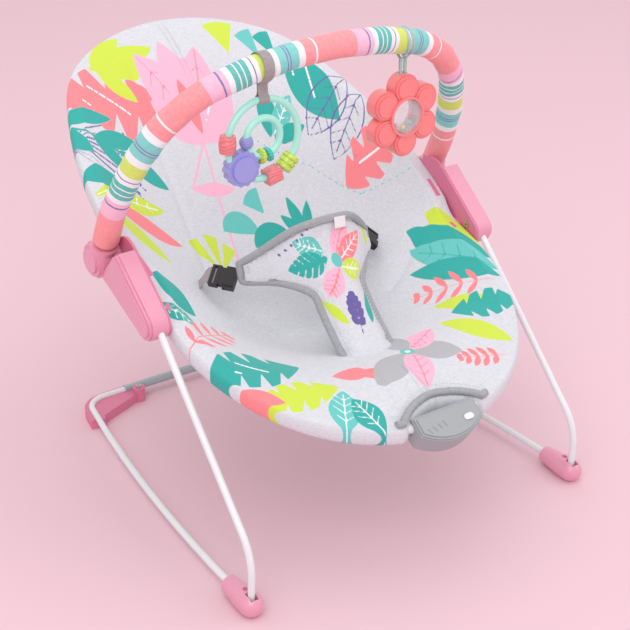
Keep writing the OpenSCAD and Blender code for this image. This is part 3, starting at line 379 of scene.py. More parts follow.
def mesh_object(name: str, points: np.ndarray, faces: Iterable[Sequence[int]],
                material: bpy.types.Material) -> bpy.types.Object:
    """Makes a smooth mesh.

    Args:
        name: the piece's name.
        points: its corners, in mm.
        faces: its faces' corner numbers.
        material: its finish.

    Returns:
        The new object, in the scene.
    """
    mesh = bpy.data.meshes.new(name)
    mesh.from_pydata((np.asarray(points, float) * MM).tolist(), [], [list(map(int, f)) for f in faces])
    mesh.validate()
    mesh.shade_smooth()
    mesh.materials.append(material)
    return linked(name, mesh)


def store(piece: bpy.types.Object, name: str, values: np.ndarray) -> None:
    """Stores one number at each vertex."""
    attribute = piece.data.attributes.new(name, "FLOAT", "POINT")
    attribute.data.foreach_set("value", values.astype(np.float32))


def unit(rows: np.ndarray) -> np.ndarray:
    """Each row made one long."""
    return rows / np.linalg.norm(rows, axis=1)[:, None]


def outward(piece: bpy.types.Object) -> None:
    """Turns a closed piece's faces outwards."""
    work = bmesh.new()
    work.from_mesh(piece.data)
    bmesh.ops.recalc_face_normals(work, faces=work.faces)
    work.to_mesh(piece.data)
    work.free()


def grid_faces(rows: int, cols: int, closed: bool = False, start: int = 0) -> list[tuple[int, ...]]:
    """Quads over a grid of points, row by row; closed joins each row's end to its start."""
    faces = []
    for i in range(rows - 1):
        for j in range(cols if closed else cols - 1):
            k = (j + 1) % cols
            faces.append((start + i * cols + j, start + i * cols + k,
                          start + (i + 1) * cols + k, start + (i + 1) * cols + j))
    return faces


def grid_edge(rows: int, cols: int) -> np.ndarray:
    """The corner numbers round a grid's edge."""
    return np.concatenate([np.arange(cols - 1), np.arange(rows - 1) * cols + cols - 1,
                           (rows - 1) * cols + np.arange(cols - 1, 0, -1), np.arange(rows - 1, 0, -1) * cols])


class Shell:
    """A mesh that grows from the edge of a grid, ring by ring."""

    def __init__(self, rows: int, cols: int, grid: np.ndarray) -> None:
        """Starts with a grid of points, whose edge is open."""
        self.points, self.faces = [grid], grid_faces(rows, cols)
        self.edge, self.count = grid_edge(rows, cols), len(grid)

    def ring(self, row: np.ndarray) -> None:
        """Joins a ring of points to the open edge."""
        after = self.count + np.arange(len(row))
        new, old = np.roll(after, -1), np.roll(self.edge, -1)
        self.faces += list(zip(self.edge, after, new, old))
        self.points.append(row)
        self.count += len(row)
        self.edge = after

    def close(self, spot: np.ndarray) -> None:
        """Closes the open edge in one point."""
        self.faces += [(a, self.count, b) for a, b in zip(self.edge, np.roll(self.edge, -1))]
        self.points.append(spot[None])


def applied(piece: bpy.types.Object) -> bpy.types.Object:
    """Turns a piece with modifiers into a plain mesh under the same name."""
    graph = bpy.context.evaluated_depsgraph_get()
    mesh = bpy.data.meshes.new_from_object(piece.evaluated_get(graph))
    piece.modifiers.clear()
    old = piece.data
    piece.data = mesh
    bpy.data.meshes.remove(old)
    return piece


def remeshed(piece: bpy.types.Object, voxel: float) -> bpy.types.Object:
    """Turns a closed piece into even cells of voxel mm."""
    remesh = piece.modifiers.new("remesh", "REMESH")
    remesh.mode = "VOXEL"
    remesh.voxel_size = voxel * MM
    remesh.use_smooth_shade = True
    return applied(piece)


def settle(piece: bpy.types.Object, slot: str, body: str, *nodes: str) -> None:
    """Hides the CAD nodes that a finished piece stands for and puts the piece on its body."""
    if nodes:
        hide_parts(*nodes)
    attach(piece, body)
    LOG.info("%s: %d faces", piece.name, len(piece.data.polygons))


# ---------------------------------------------------------------- geometry nodes
class Tree:
    """A Geometry Nodes tree with named inputs."""

    def __init__(self, name: str, inputs: dict[str, tuple[str, object]]) -> None:
        """Makes the tree.

        Args:
            name: its name.
            inputs: each input's socket type and default.
        """
        self.tree = bpy.data.node_groups.new(name, "GeometryNodeTree")
        face = self.tree.interface
        face.new_socket("Geometry", in_out="INPUT", socket_type="NodeSocketGeometry")
        for key, (kind, default) in inputs.items():
            socket = face.new_socket(key, in_out="INPUT", socket_type=kind)
            if default is not None:
                socket.default_value = default
        face.new_socket("Geometry", in_out="OUTPUT", socket_type="NodeSocketGeometry")
        self.source = self.tree.nodes.new("NodeGroupInput")
        self.sink = self.tree.nodes.new("NodeGroupOutput")

    def add(self, kind: str, settings: dict, values: dict) -> bpy.types.Node:
        """Adds a node; a value that is a socket is linked."""
        node = self.tree.nodes.new(kind)
        for key, value in settings.items():
            setattr(node, key, value)
        for key, value in values.items():
            if isinstance(value, bpy.types.NodeSocket):
                self.tree.links.new(value, node.inputs[key])
            else:
                node.inputs[key].default_value = value
        return node

    def end(self, geometry: bpy.types.NodeSocket) -> None:
        """Ends the tree in Realize Instances and Set Material."""
        real = self.add("GeometryNodeRealizeInstances", {}, {"Geometry": geometry})
        paint = self.add("GeometryNodeSetMaterial", {}, {"Geometry": real.outputs[0],
                                                         "Material": self.source.outputs["Material"]})
        self.tree.links.new(paint.outputs[0], self.sink.inputs[0])

    def run(self, name: str, path: np.ndarray, **values: object) -> bpy.types.Object:
        """Runs the tree along a path.

        Args:
            name: the new piece's name.
            path: the path's points, in mm.
            values: the tree's inputs; an underscore stands for a space.

        Returns:
            A plain mesh.
        """
        mesh = bpy.data.meshes.new(name)
        edges = [(i, i + 1) for i in range(len(path) - 1)]
        mesh.from_pydata((np.asarray(path, float) * MM).tolist(), edges, [])
        piece = linked(name, mesh)
        modifier = piece.modifiers.new("nodes", "NODES")
        modifier.node_group = self.tree
        names = {s.name: s.identifier for s in self.tree.interface.items_tree
                 if s.item_type == "SOCKET" and s.in_out == "INPUT"}
        for key, value in values.items():
            modifier[names[key.replace("_", " ")]] = value
        applied(piece)
        piece.data.shade_smooth()
        return piece


def bar_tree() -> Tree:
    """A round bar along a path: wires, bindings and piping."""
    tree = Tree("round_bar", {"Radius": ("NodeSocketFloat", 0.004), "Sides": ("NodeSocketInt", 24),
                              "Material": ("NodeSocketMaterial", None)})
    take = tree.source.outputs
    curve = tree.add("GeometryNodeMeshToCurve", {}, {"Mesh": take["Geometry"]})
    ring = tree.add("GeometryNodeCurvePrimitiveCircle", {}, {"Resolution": take["Sides"],
                                                             "Radius": take["Radius"]})
    bar = tree.add("GeometryNodeCurveToMesh", {}, {"Curve": curve.outputs[0],
                                                   "Profile Curve": ring.outputs[0], "Fill Caps": True})
    tree.end(bar.outputs[0])
    return tree


def stitch_tree() -> Tree:
    """A row of stitches along a path."""
    tree = Tree("stitches", {"Pitch": ("NodeSocketFloat", 0.004), "Length": ("NodeSocketFloat", 0.0026),
                             "Thread": ("NodeSocketFloat", 0.0004), "Material": ("NodeSocketMaterial", None)})
    take = tree.source.outputs
    curve = tree.add("GeometryNodeMeshToCurve", {}, {"Mesh": take["Geometry"]})
    spots = tree.add("GeometryNodeCurveToPoints", {"mode": "LENGTH"}, {"Curve": curve.outputs[0],
                                                                      "Length": take["Pitch"]})
    ball = tree.add("GeometryNodeMeshUVSphere", {}, {"Segments": 8, "Rings": 6, "Radius": 1.0})
    half = tree.add("ShaderNodeMath", {"operation": "MULTIPLY"}, {0: take["Length"], 1: 0.5})
    size = tree.add("ShaderNodeCombineXYZ", {}, {0: take["Thread"], 1: take["Thread"], 2: half.outputs[0]})
    thread = tree.add("GeometryNodeTransform", {}, {"Geometry": ball.outputs[0], "Scale": size.outputs[0]})
    row = tree.add("GeometryNodeInstanceOnPoints", {}, {"Points": spots.outputs["Points"],
                                                        "Instance": thread.outputs[0],
                                                        "Rotation": spots.outputs["Rotation"]})
    tree.end(row.outputs[0])
    return tree


# ---------------------------------------------------------------- shapes shared with the CAD
def ease(t: np.ndarray) -> np.ndarray:
    """A smooth step from 0 to 1."""
    c = np.clip(t, 0.0, 1.0)
    return c * c * (3 - 2 * c)


@dataclass
class Loop:
    """A bent tube in its own plane, made of five arcs, symmetric about its middle.

    Attributes:
        half: half its width at its start.
        length: how far it reaches.
        corner: radius of its corners.
        angles: where its side arc and its corner start and end, in degrees.
    """

    half: float
    length: float
    corner: float
    angles: tuple[float, float, float]
    side: float = field(init=False)
    middle: float = field(init=False)

    def __post_init__(self) -> None:
        """Finds the radii of the side and middle arcs."""
        a, b, c = (math.radians(v) for v in self.angles)
        first, second = math.cos(a) - math.cos(b), math.sin(b) - math.sin(a)
        rest_x = self.half - self.corner * (math.cos(b) - math.cos(c))
        rest_y = self.length - self.corner * (math.sin(c) - math.sin(b))
        det = first * (1 - math.sin(c)) - math.cos(c) * second
        self.side = (rest_x * (1 - math.sin(c)) - math.cos(c) * rest_y) / det
        self.middle = (first * rest_y - second * rest_x) / det

    def centres(self) -> tuple[np.ndarray, np.ndarray, np.ndarray]:
        """The centres of the side, corner and middle arcs on the right."""
        a, b, _ = (math.radians(v) for v in self.angles)
        side = np.array([self.half - self.side * math.cos(a), -self.side * math.sin(a)])
        corner = side + (self.side - self.corner) * np.array([math.cos(b), math.sin(b)])
        return side, corner, np.array([0.0, self.length - self.middle])

    def width(self, height: np.ndarray, off: float) -> np.ndarray:
        """Half the loop's width, grown by off, at a distance along its plane."""
        _, b, c = (math.radians(v) for v in self.angles)
        spots, radii = self.centres(), (self.side + off, self.corner + off, self.middle + off)
        arcs = [s[0] + np.sqrt(np.maximum(0, r * r - (height - s[1]) ** 2)) for s, r in zip(spots, radii)]
        low = spots[0][1] + radii[0] * math.sin(b)
        high = spots[1][1] + radii[1] * math.sin(c)
        return np.where(height < low, arcs[0], np.where(height < high, arcs[1], arcs[2]))

    def path(self, step: float) -> np.ndarray:
        """Points along the whole loop from left to right, about every step mm."""
        a, b, c = (math.radians(v) for v in self.angles)
        rows = []
        for spot, radius, start, end in zip(self.centres(), (self.side, self.corner, self.middle),
                                            (a, b, c), (b, c, math.pi / 2)):
            count = max(2, int(radius * (end - start) / step))
            turn = np.linspace(start, end, count, endpoint=False)
            rows.append(spot + radius * np.stack([np.cos(turn), np.sin(turn)], 1))
        right = np.concatenate(rows + [np.array([[0.0, self.length]])])
        return np.concatenate([right * [-1, 1], right[-2::-1]])


@dataclass
class SeatShape:
    """The seat pad's shape, the same rules as in the CAD model.

    Attributes:
        front: where the front tube leaves the hub: y and z in mm.
        back: where the back tube leaves the hub.
        slopes: the slopes of the front and back tubes, in degrees.
        depth: how far the bowl sags.
        thick: the pad's thickness.
        lip: width of its rolled edge.
    """

    front: tuple[float, float] = (199.636, 256.003)
    back: tuple[float, float] = (261.789, 297.414)
    slopes: tuple[float, float] = (20.0, 28.0)
    depth: float = 106.0
    thick: float = 6.0
    lip: float = 16.0
    front_loop: Loop = field(default_factory=lambda: Loop(196, 242.5, 184, (-6, 33.4, 43.6)))
    back_loop: Loop = field(default_factory=lambda: Loop(200, 328, 124.5, (-4.2, 23.6, 55.4)))

    def __post_init__(self) -> None:
        """Works out where the pad starts, ends and changes slope."""
        cf, cb = (math.cos(math.radians(s)) for s in self.slopes)
        self.start = self.front[0] - 250.5 * cf
        self.end = self.back[0] + 336 * cb
        self.lift = 8.9 / cb

    def share(self, y: np.ndarray) -> np.ndarray:
        """How much the edge follows the back tube at y."""
        first, last = self.front[0] + 4, self.back[0] - 28
        return ease((y - first) / (last - first))

    def edge_w(self, y: np.ndarray) -> np.ndarray:
        """Half the pad's width at y."""
        cf, cb = (math.cos(math.radians(s)) for s in self.slopes)
        near = self.front_loop.width((self.front[0] - y) / cf, 8)
        start = self.front_loop.width(np.array(0.0), 8)
        near = np.where(y < self.front[0], near, start - 22 * ((y - self.front[0]) / 90) ** 2)
        share = self.share(y)
        return near * (1 - share) + self.back_loop.width((y - self.back[0]) / cb, 8) * share

    def edge_z(self, y: np.ndarray) -> np.ndarray:
        """Height of the pad's edge at y."""
        tf, tb = (math.tan(math.radians(s)) for s in self.slopes)
        share = self.share(y)
        return ((self.front[1] + (y - self.front[0]) * tf) * (1 - share)
                + (self.back[1] + (y - self.back[0]) * tb) * share + self.lift)

    def z(self, x: np.ndarray, y: np.ndarray) -> np.ndarray:
        """Height of the pad's underside at x, y."""
        run = np.clip((y - self.start - self.lip) / (self.end - self.start - 2 * self.lip), 0, 1)
        sag = self.depth * np.sin(math.pi * run) ** np.where(run < 0.5, 2.2, 1.5)
        room = np.maximum(20, self.edge_w(y) - self.lip)
        return self.edge_z(y) - sag * (1 - np.minimum(1, np.abs(x) / room) ** 2.3)

    def notch(self, x: np.ndarray) -> np.ndarray:
        """How far the front edge is cut back round the vibration unit."""
        return 29 * np.cos(math.pi / 2 * np.minimum(1, np.abs(x) / 52)) ** 0.8


# ---------------------------------------------------------------- the fabric print
@dataclass(frozen=True)
class Mark:
    """One printed shape, drawn on the seat's plan in mm.

    Attributes:
        ink: its colour.
        kind: which of the Print's draw methods is used.
        a: its root, x and y.
        b: its tip, or its outer point.
        width: its width.
        vein: the ink of its middle vein, if it has one.
    """

    ink: Ink
    kind: str
    a: Spot
    b: Spot
    width: float
    vein: Union[Ink, None] = None

    @property
    def length(self) -> float:
        """From its root to its tip, in mm."""
        return math.dist(self.a, self.b)

    def at(self, along: float, aside: float = 0.0) -> Spot:
        """The point at a distance along the mark and one aside of it, in mm."""
        ux, uy = (self.b[0] - self.a[0]) / self.length, (self.b[1] - self.a[1]) / self.length
        return self.a[0] + ux * along - uy * aside, self.a[1] + uy * along + ux * aside


class Print:
    """Draws the marks as signed distances, positive inside, at points of the plan."""

    def __init__(self, x: np.ndarray, y: np.ndarray) -> None:
        """Keeps the points and starts with nothing drawn."""
        self.x, self.y = x, y
        self.layers = {ink: np.full(len(x), -9.0) for ink in Ink}

    def lay(self, ink: Ink, inside: np.ndarray) -> None:
        """Adds a shape to a colour, and clears it from the colours that lie above."""
        self.layers[ink] = np.maximum(self.layers[ink], inside)
        order = list(Ink)
        for other in order[order.index(ink) + 1:]:
            self.layers[other] = np.minimum(self.layers[other], -inside)

    def local(self, a: Spot, b: Spot) -> tuple[np.ndarray, np.ndarray, float]:
        """Distances along and across a line from a to b, and its length."""
        dx, dy = b[0] - a[0], b[1] - a[1]
        length = max(1e-6, math.hypot(dx, dy))
        ux, uy = dx / length, dy / length
        px, py = self.x - a[0], self.y - a[1]
        return px * ux + py * uy, py * ux - px * uy, length

    def leaf(self, a: Spot, b: Spot, width: float) -> np.ndarray:
        """A pointed leaf."""
        s, t, length = self.local(a, b)
        half = width / 2 * np.sin(math.pi * np.clip(s / length, 0, 1)) ** 0.85
        return np.minimum(half - np.abs(t), np.minimum(s, length - s))

    def line(self, a: Spot, b: Spot, width: float) -> np.ndarray:
        """A thin line."""
        s, t, length = self.local(a, b)
        out = np.hypot(t, np.maximum(0, np.maximum(-s, s - length)))
        return width / 2 - out

    def disc(self, a: Spot, r: float) -> np.ndarray:
        """A round blob."""
        return r - np.hypot(self.x - a[0], self.y - a[1])

    def draw(self, mark: Mark) -> None:
        """Draws one mark."""
        getattr(self, "draw_" + mark.kind)(mark)
        if mark.vein:
            self.veins(mark)

    def veins(self, mark: Mark) -> None:
        """Draws a leaf's middle vein and its side veins."""
        lay = self.line(mark.at(0.04 * mark.length), mark.at(0.9 * mark.length), 1.5)
        for share in (0.25, 0.42, 0.59, 0.74):
            half, root = mark.width / 2 * math.sin(math.pi * share) * 0.72, share * mark.length
            for side in (-1, 1):
                lay = np.maximum(lay, self.line(mark.at(root), mark.at(root + half * 0.8, side * half), 1.2))
        self.lay(mark.vein, np.minimum(lay, 1.0))

    def draw_leaf(self, m: Mark) -> None:
        """A plain leaf."""
        self.lay(m.ink, self.leaf(m.a, m.b, m.width))

    def draw_line(self, m: Mark) -> None:
        """A line."""
        self.lay(m.ink, self.line(m.a, m.b, m.width))

    def draw_blob(self, m: Mark) -> None:
        """A round blob about its root."""
        self.lay(m.ink, self.disc(m.a, m.width / 2))

    def draw_half(self, m: Mark) -> None:
        """Half a disc, flat on the side away from b."""
        s, _, _ = self.local(m.a, m.b)
        self.lay(m.ink, np.minimum(self.disc(m.a, m.width / 2), s))

    def draw_frond(self, m: Mark) -> None:
        """A leaf cut into lobes."""
        s, t, length = self.local(m.a, m.b)
        teeth = np.abs((s / length * 6 - np.abs(t) / m.width * 2.2) % 1.0 - 0.5) * 2
        whole = self.leaf(m.a, m.b, m.width)
        cut = np.maximum((teeth - 0.22) * length / 12, m.width * 0.11 - np.abs(t))
        self.lay(m.ink, np.minimum(whole, cut))

    def draw_fern(self, m: Mark) -> None:
        """A stem with narrow leaves on both sides."""
        out = self.line(m.a, m.b, 1.6)
        for share in (0.2, 0.38, 0.56, 0.74, 0.9):
            half, root = m.width / 2 * math.sin(math.pi * (0.15 + share * 0.8)), share * m.length
            for side in (-1, 1):
                out = np.maximum(out, self.leaf(m.at(root), m.at(root + half * 0.7, side * half), 7))
        self.lay(m.ink, out)

    def draw_dots(self, m: Mark) -> None:
        """A row of dots from a to b."""
        steps = max(2, int(m.length / (m.width * 2.3)))
        for i in range(steps + 1):
            self.lay(m.ink, self.disc(m.at(m.length * i / steps), m.width / 2))

    def draw_spray(self, m: Mark) -> None:
        """A fan of thin lines from one root."""
        for i in range(7):
            turn = (i - 3) * 0.17
            tip = m.at(m.length * math.cos(turn), m.length * math.sin(turn))
            self.lay(m.ink, self.line(m.a, tip, m.width))
            self.lay(m.ink, self.disc(tip, m.width * 1.1))

    def draw_notched(self, m: Mark) -> None:
        """A broad leaf with wedges cut out of both its sides."""
        s, t, length = self.local(m.a, m.b)
        lobes = ((s / length * 4.6 + np.abs(t) / m.width * 0.8) % 1.0 - 0.5) * length / 4.6
        wedge = np.abs(lobes) - (np.abs(t) - m.width * 0.16) * 0.30
        whole = self.leaf(m.a, m.b, m.width)
        self.lay(m.ink, np.minimum(whole, np.maximum(wedge, m.width * 0.15 - np.abs(t))))

    def draw_fan(self, m: Mark) -> None:
        """A wedge, pointed at its root and rounded at its end."""
        s, t, length = self.local(m.a, m.b)
        side = s * m.width / 2 / length - np.abs(t)
        self.lay(m.ink, np.minimum(side, length - np.hypot(s, t)))

    def draw_veined(self, m: Mark) -> None:
        """A leaf drawn in outline, with its veins."""
        shape = self.leaf(m.a, m.b, m.width)
        self.lay(m.ink, np.minimum(shape, 1.8 - shape))
        self.veins(replace(m, vein=m.ink))

    def draw_specks(self, m: Mark) -> None:
        """A loose patch of dots between a and b."""
        for i in range(26):
            share, side = (i * 0.618) % 1.0, ((i * 0.382 + 0.13) % 1.0 - 0.5) * m.length * 0.5
            self.lay(m.ink, self.disc(m.at(m.length * share, side), m.width / 2))

    def draw_dashes(self, m: Mark) -> None:
        """A dashed line."""
        s, _, _ = self.local(m.a, m.b)
        self.lay(m.ink, np.minimum(self.line(m.a, m.b, m.width), 2.4 - np.abs(s % 8.0 - 4.0)))

    def dress(self, piece: bpy.types.Object, marks: Iterable[Mark]) -> None:
        """Draws the marks and stores each colour's layer on the piece."""
        for mark in marks:
            self.draw(mark)
        for ink, inside in self.layers.items():
            store(piece, ink.name.lower(), np.clip(inside, -3, 3))


SEAT_PRINT: tuple[Mark, ...] = (
    # head end, left
    Mark(Ink.LILAC, "spray", (-204, 166), (-122, 152), 1.7),
    Mark(Ink.LILAC, "spray", (-204, 166), (-128, 120), 1.4),
    Mark(Ink.CORAL, "notched", (-182, 222), (-54, 212), 84),
    Mark(Ink.WHITE, "specks", (-150, 226), (-96, 212), 3.0),
    Mark(Ink.LIME, "leaf", (-124, 256), (-30, 272), 30),
    Mark(Ink.LIME, "leaf", (-118, 256), (-42, 246), 25),
    Mark(Ink.LIME, "leaf", (-116, 254), (-82, 214), 20),
    Mark(Ink.LIME, "leaf", (-120, 262), (-66, 292), 22),
    Mark(Ink.TEAL, "leaf", (-206, 196), (-128, 196), 22),
    Mark(Ink.TEAL, "leaf", (-206, 192), (-176, 146), 24),
    Mark(Ink.TEAL, "line", (-206, 194), (-124, 148), 3.0),
    Mark(Ink.TEAL, "leaf", (-164, 170), (-108, 172), 22),
    Mark(Ink.TEAL, "leaf", (-166, 170), (-136, 130), 17),
    Mark(Ink.TEAL, "leaf", (-140, 158), (-92, 128), 24),
    Mark(Ink.TEAL, "half", (-182, 100), (-170, 122), 62),
    Mark(Ink.LIME, "leaf", (-206, 92), (-114, 102), 24, Ink.WHITE),
    Mark(Ink.CORAL, "leaf", (-204, 82), (-112, 66), 24),
    Mark(Ink.LIME, "leaf", (-206, 66), (-146, 30), 26),
    # head end, middle and right
    Mark(Ink.LIME, "fan", (66, 246), (72, 290), 46),
    Mark(Ink.AQUA, "fan", (104, 232), (98, 270), 26),
    Mark(Ink.TEAL, "fan", (124, 226), (120, 262), 26),
    Mark(Ink.TEAL, "leaf", (134, 228), (156, 132), 48),
    Mark(Ink.WHITE, "specks", (142, 208), (150, 168), 2.6),
    Mark(Ink.LILAC, "veined", (192, 170), (114, 140), 46),
    Mark(Ink.LILAC, "veined", (196, 142), (128, 104), 40),
    Mark(Ink.CORAL, "notched", (206, 84), (126, 74), 58),
    Mark(Ink.WHITE, "specks", (182, 84), (152, 76), 2.8),
    Mark(Ink.AQUA, "dashes", (44, 168), (100, 116), 1.6),
    Mark(Ink.AQUA, "dashes", (100, 116), (136, 58), 1.6),
    Mark(Ink.AQUA, "dashes", (136, 58), (196, 26), 1.6),
    # the big blossom and its stem
    Mark(Ink.PINK, "line", (-18, 172), (-44, 48), 3.0),
    Mark(Ink.PINK, "line", (-18, 172), (-58, 132), 2.6),
    Mark(Ink.PINK, "leaf", (-58, 132), (-2, 126), 13),
    Mark(Ink.PINK, "leaf", (-58, 268), (-16, 172), 50, Ink.CORAL),
    Mark(Ink.PINK, "leaf", (24, 262), (-14, 172), 46, Ink.CORAL),
    Mark(Ink.PINK, "leaf", (-18, 278), (-16, 176), 40),
    Mark(Ink.PINK, "leaf", (-66, 214), (-14, 170), 36),
    Mark(Ink.PINK, "leaf", (44, 210), (-14, 170), 34),
    Mark(Ink.CORAL, "leaf", (-18, 232), (-15, 178), 18),
    Mark(Ink.WHITE, "specks", (10, 214), (2, 188), 2.4),
    Mark(Ink.TEAL, "leaf", (70, 158), (88, 204), 24),
    Mark(Ink.AQUA, "leaf", (74, 158), (116, 184), 22, Ink.WHITE),
    Mark(Ink.TEAL, "leaf", (74, 156), (116, 150), 17),
    # the middle of the back
    Mark(Ink.LIME, "fan", (-72, 44), (-66, 84), 18),
    Mark(Ink.LIME, "fan", (-74, 44), (-94, 78), 18),
    Mark(Ink.LIME, "fan", (-70, 44), (-46, 72), 16),
    Mark(Ink.AQUA, "half", (-20, 84), (-16, 102), 46),
    Mark(Ink.AQUA, "fan", (20, 96), (10, 120), 34),
    Mark(Ink.TEAL, "half", (14, 62), (18, 82), 52),
    Mark(Ink.TEAL, "leaf", (58, 60), (56, 104), 14),
    Mark(Ink.TEAL, "leaf", (56, 60), (38, 90), 12),
    Mark(Ink.TEAL, "leaf", (60, 60), (78, 92), 12),
    # right side
    Mark(Ink.LIME, "leaf", (206, -92), (176, -20), 32),
    Mark(Ink.TEAL, "leaf", (206, -112), (150, -16), 34),
    Mark(Ink.AQUA, "leaf", (200, -130), (144, -32), 36, Ink.TEAL),
    Mark(Ink.TEAL, "leaf", (196, -140), (128, -54), 30),
    Mark(Ink.CORAL, "fern", (184, -142), (106, -86), 46),
    Mark(Ink.LIME, "leaf", (172, -176), (110, -122), 26),
    Mark(Ink.TEAL, "notched", (190, -176), (114, -150), 44),
    Mark(Ink.LIME, "leaf", (142, -226), (92, -156), 30),
    Mark(Ink.CORAL, "fern", (122, -240), (64, -222), 30),
    # left front
    Mark(Ink.TEAL, "leaf", (-196, -14), (-160, -44), 26),
    Mark(Ink.TEAL, "leaf", (-204, -40), (-176, -76), 24, Ink.WHITE),
    Mark(Ink.CORAL, "fern", (-212, -112), (-128, -62), 46),
    Mark(Ink.TEAL, "notched", (-206, -146), (-96, -150), 66),
    Mark(Ink.WHITE, "specks", (-176, -146), (-138, -150), 2.6),
    Mark(Ink.LIME, "notched", (-176, -198), (-84, -206), 44),
    Mark(Ink.CORAL, "leaf", (-194, -174), (-150, -206), 20),
    Mark(Ink.AQUA, "leaf", (-112, -262), (-84, -214), 34, Ink.WHITE),
    Mark(Ink.TEAL, "leaf", (-74, -278), (-82, -228), 32, Ink.WHITE),
    # the pale blossom at the front
    Mark(Ink.CORAL, "leaf", (-78, -186), (-34, -200), 24),
    Mark(Ink.CORAL, "leaf", (-54, -180), (-26, -216), 22),
    Mark(Ink.GREY, "leaf", (-44, -222), (24, -186), 38),
    Mark(Ink.PINK, "leaf", (6, -246), (28, -184), 32, Ink.CORAL),
    Mark(Ink.GREY, "leaf", (78, -214), (24, -182), 38),
    Mark(Ink.PINK, "leaf", (78, -158), (26, -182), 32, Ink.CORAL),
    Mark(Ink.GREY, "leaf", (32, -132), (26, -182), 30),
    Mark(Ink.AQUA, "blob", (25, -184), (0, 0), 17),
    Mark(Ink.WHITE, "blob", (25, -184), (0, 0), 7),
)


# ---------------------------------------------------------------- soft pieces
@dataclass
class SeatFabric:
    """The seat pad: a sling of printed cloth that wraps round the tubes.

    Attributes:
        shape: the pad's shape.
        columns: points across.
        rows: points along.
        wrap: radius of the sleeve round the tubes, in mm.
        sink: how far the cloth's edge lies below the plain pad's.
        rings: how many rings close the underside.
    """

    shape: SeatShape
    columns: int = 250
    rows: int = 300
    rings: int = 26
    wrap: float = 8.6
    sink: float = 7.5

    def plan(self) -> tuple[np.ndarray, np.ndarray, np.ndarray]:
        """The plan's points, a square grid pulled onto the outline, and how far out each lies."""
        s = self.shape
        u, v = np.meshgrid(np.linspace(-1, 1, self.columns), np.linspace(-1, 1, self.rows))
        a, b = u * np.sqrt(1 - v * v / 2), v * np.sqrt(1 - u * u / 2)
        turn, r = np.arctan2(b, a), np.hypot(a, b)
        half = (s.end - s.start) / 2
        rim_y = s.start + half + half * np.sign(np.sin(turn)) * np.abs(np.sin(turn)) ** 0.86
        rim_x = np.sign(np.cos(turn)) * s.edge_w(np.clip(rim_y, s.start + 0.05, s.end - 0.05))
        centre = s.start + half
        x, y = rim_x * r, centre + (rim_y - centre) * r
        notch = s.notch(x) * np.clip((s.start + 90 - y) / 90, 0, 1) ** 1.5
        return x, y + notch, r

    def seams(self, x: np.ndarray, y: np.ndarray) -> np.ndarray:
        """How deep the cloth is drawn in along its seams, 0 to 1."""
        plan = Print(x.ravel(), y.ravel() - ORIGIN_Y)
        lines = (((96, 226), (62, 24)), ((-70, 262), (-96, 26)), ((-204, -40), (-92, -58)),
                 ((204, -16), (94, -52)), ((-36, -262), (-34, -146)))
        deep = np.zeros(x.size)
        for a, b in lines:
            s, t, length = plan.local(a, b)
            fade = ease(s / 20) * ease((length - s) / 20)
            deep = np.maximum(deep, np.exp(-(t / 5.0) ** 2) * fade)
        return deep.reshape(x.shape)

    def sleeve(self, shell: Shell, rim: np.ndarray) -> None:
        """Rolls the cloth's edge round the tubes."""
        ahead = unit(np.roll(rim, -1, 0) - np.roll(rim, 1, 0))
        out = unit(np.cross(ahead, np.array([0.0, 0.0, 1.0])))
        up = np.cross(out, ahead)
        for k in range(1, 9):
            turn = math.radians(24 * k)
            shell.ring(rim + up * self.wrap * (math.cos(turn) - 1) * 1.08
                       + out * self.wrap * math.sin(turn) * 0.42)

    def underside(self, shell: Shell, rim: np.ndarray) -> None:
        """Closes the pad underneath with rings that shrink to its middle."""
        centre = float((rim[:, 1].max() + rim[:, 1].min()) / 2)
        for k in range(1, self.rings + 1):
            share = 1 - k / self.rings
            x, y = rim[:, 0] * (share * 0.965), centre + (rim[:, 1] - centre) * (share * 0.965)
            z = (self.shape.z(x, y + ORIGIN_Y) - self.sink * float(ease((share - 0.72) / 0.28))
                 - 14 * float(ease((share - 0.86) / 0.10)))
            row = np.stack([x, y, z], 1)
            if k < self.rings:
                shell.ring(row)
        shell.close(row[0])

    def build(self, finish: bpy.types.Material, under: bpy.types.Material) -> bpy.types.Object:
        """Builds the pad.

        Args:
            finish: the printed cloth.
            under: the plain cloth underneath.

        Returns:
            The finished piece.
        """
        s = self.shape
        x, y, r = self.plan()
        rise = 1.4 * np.sin(x / 41 + 1.7) * np.sin(y / 33) + 0.9 * np.sin(x / 19 + y / 27)
        ripple = (rise * 0.9 - 3.0 * self.seams(x, y)) * (1 - r ** 10)
        z = s.z(x, y) + s.thick + ripple - self.sink * ease((r - 0.72) / 0.28)
        shell = Shell(self.rows, self.columns, np.stack([x, y - ORIGIN_Y, z], -1).reshape(-1, 3))
        rim = shell.points[0][shell.edge]
        self.sleeve(shell, rim)
        wrapped = len(shell.faces)
        self.underside(shell, rim)
        corners = np.concatenate(shell.points)
        piece = mesh_object("seat_fabric", corners, shell.faces, finish)
        outward(piece)
        piece.data.materials.append(under)
        slots = np.zeros(len(piece.data.polygons), np.int32)
        slots[wrapped:] = 1
        piece.data.polygons.foreach_set("material_index", slots)
        Print(corners[:, 0], corners[:, 1]).dress(piece, SEAT_PRINT)
        settle(piece, "seat_fabric", "seat", "seat_pad")
        return piece


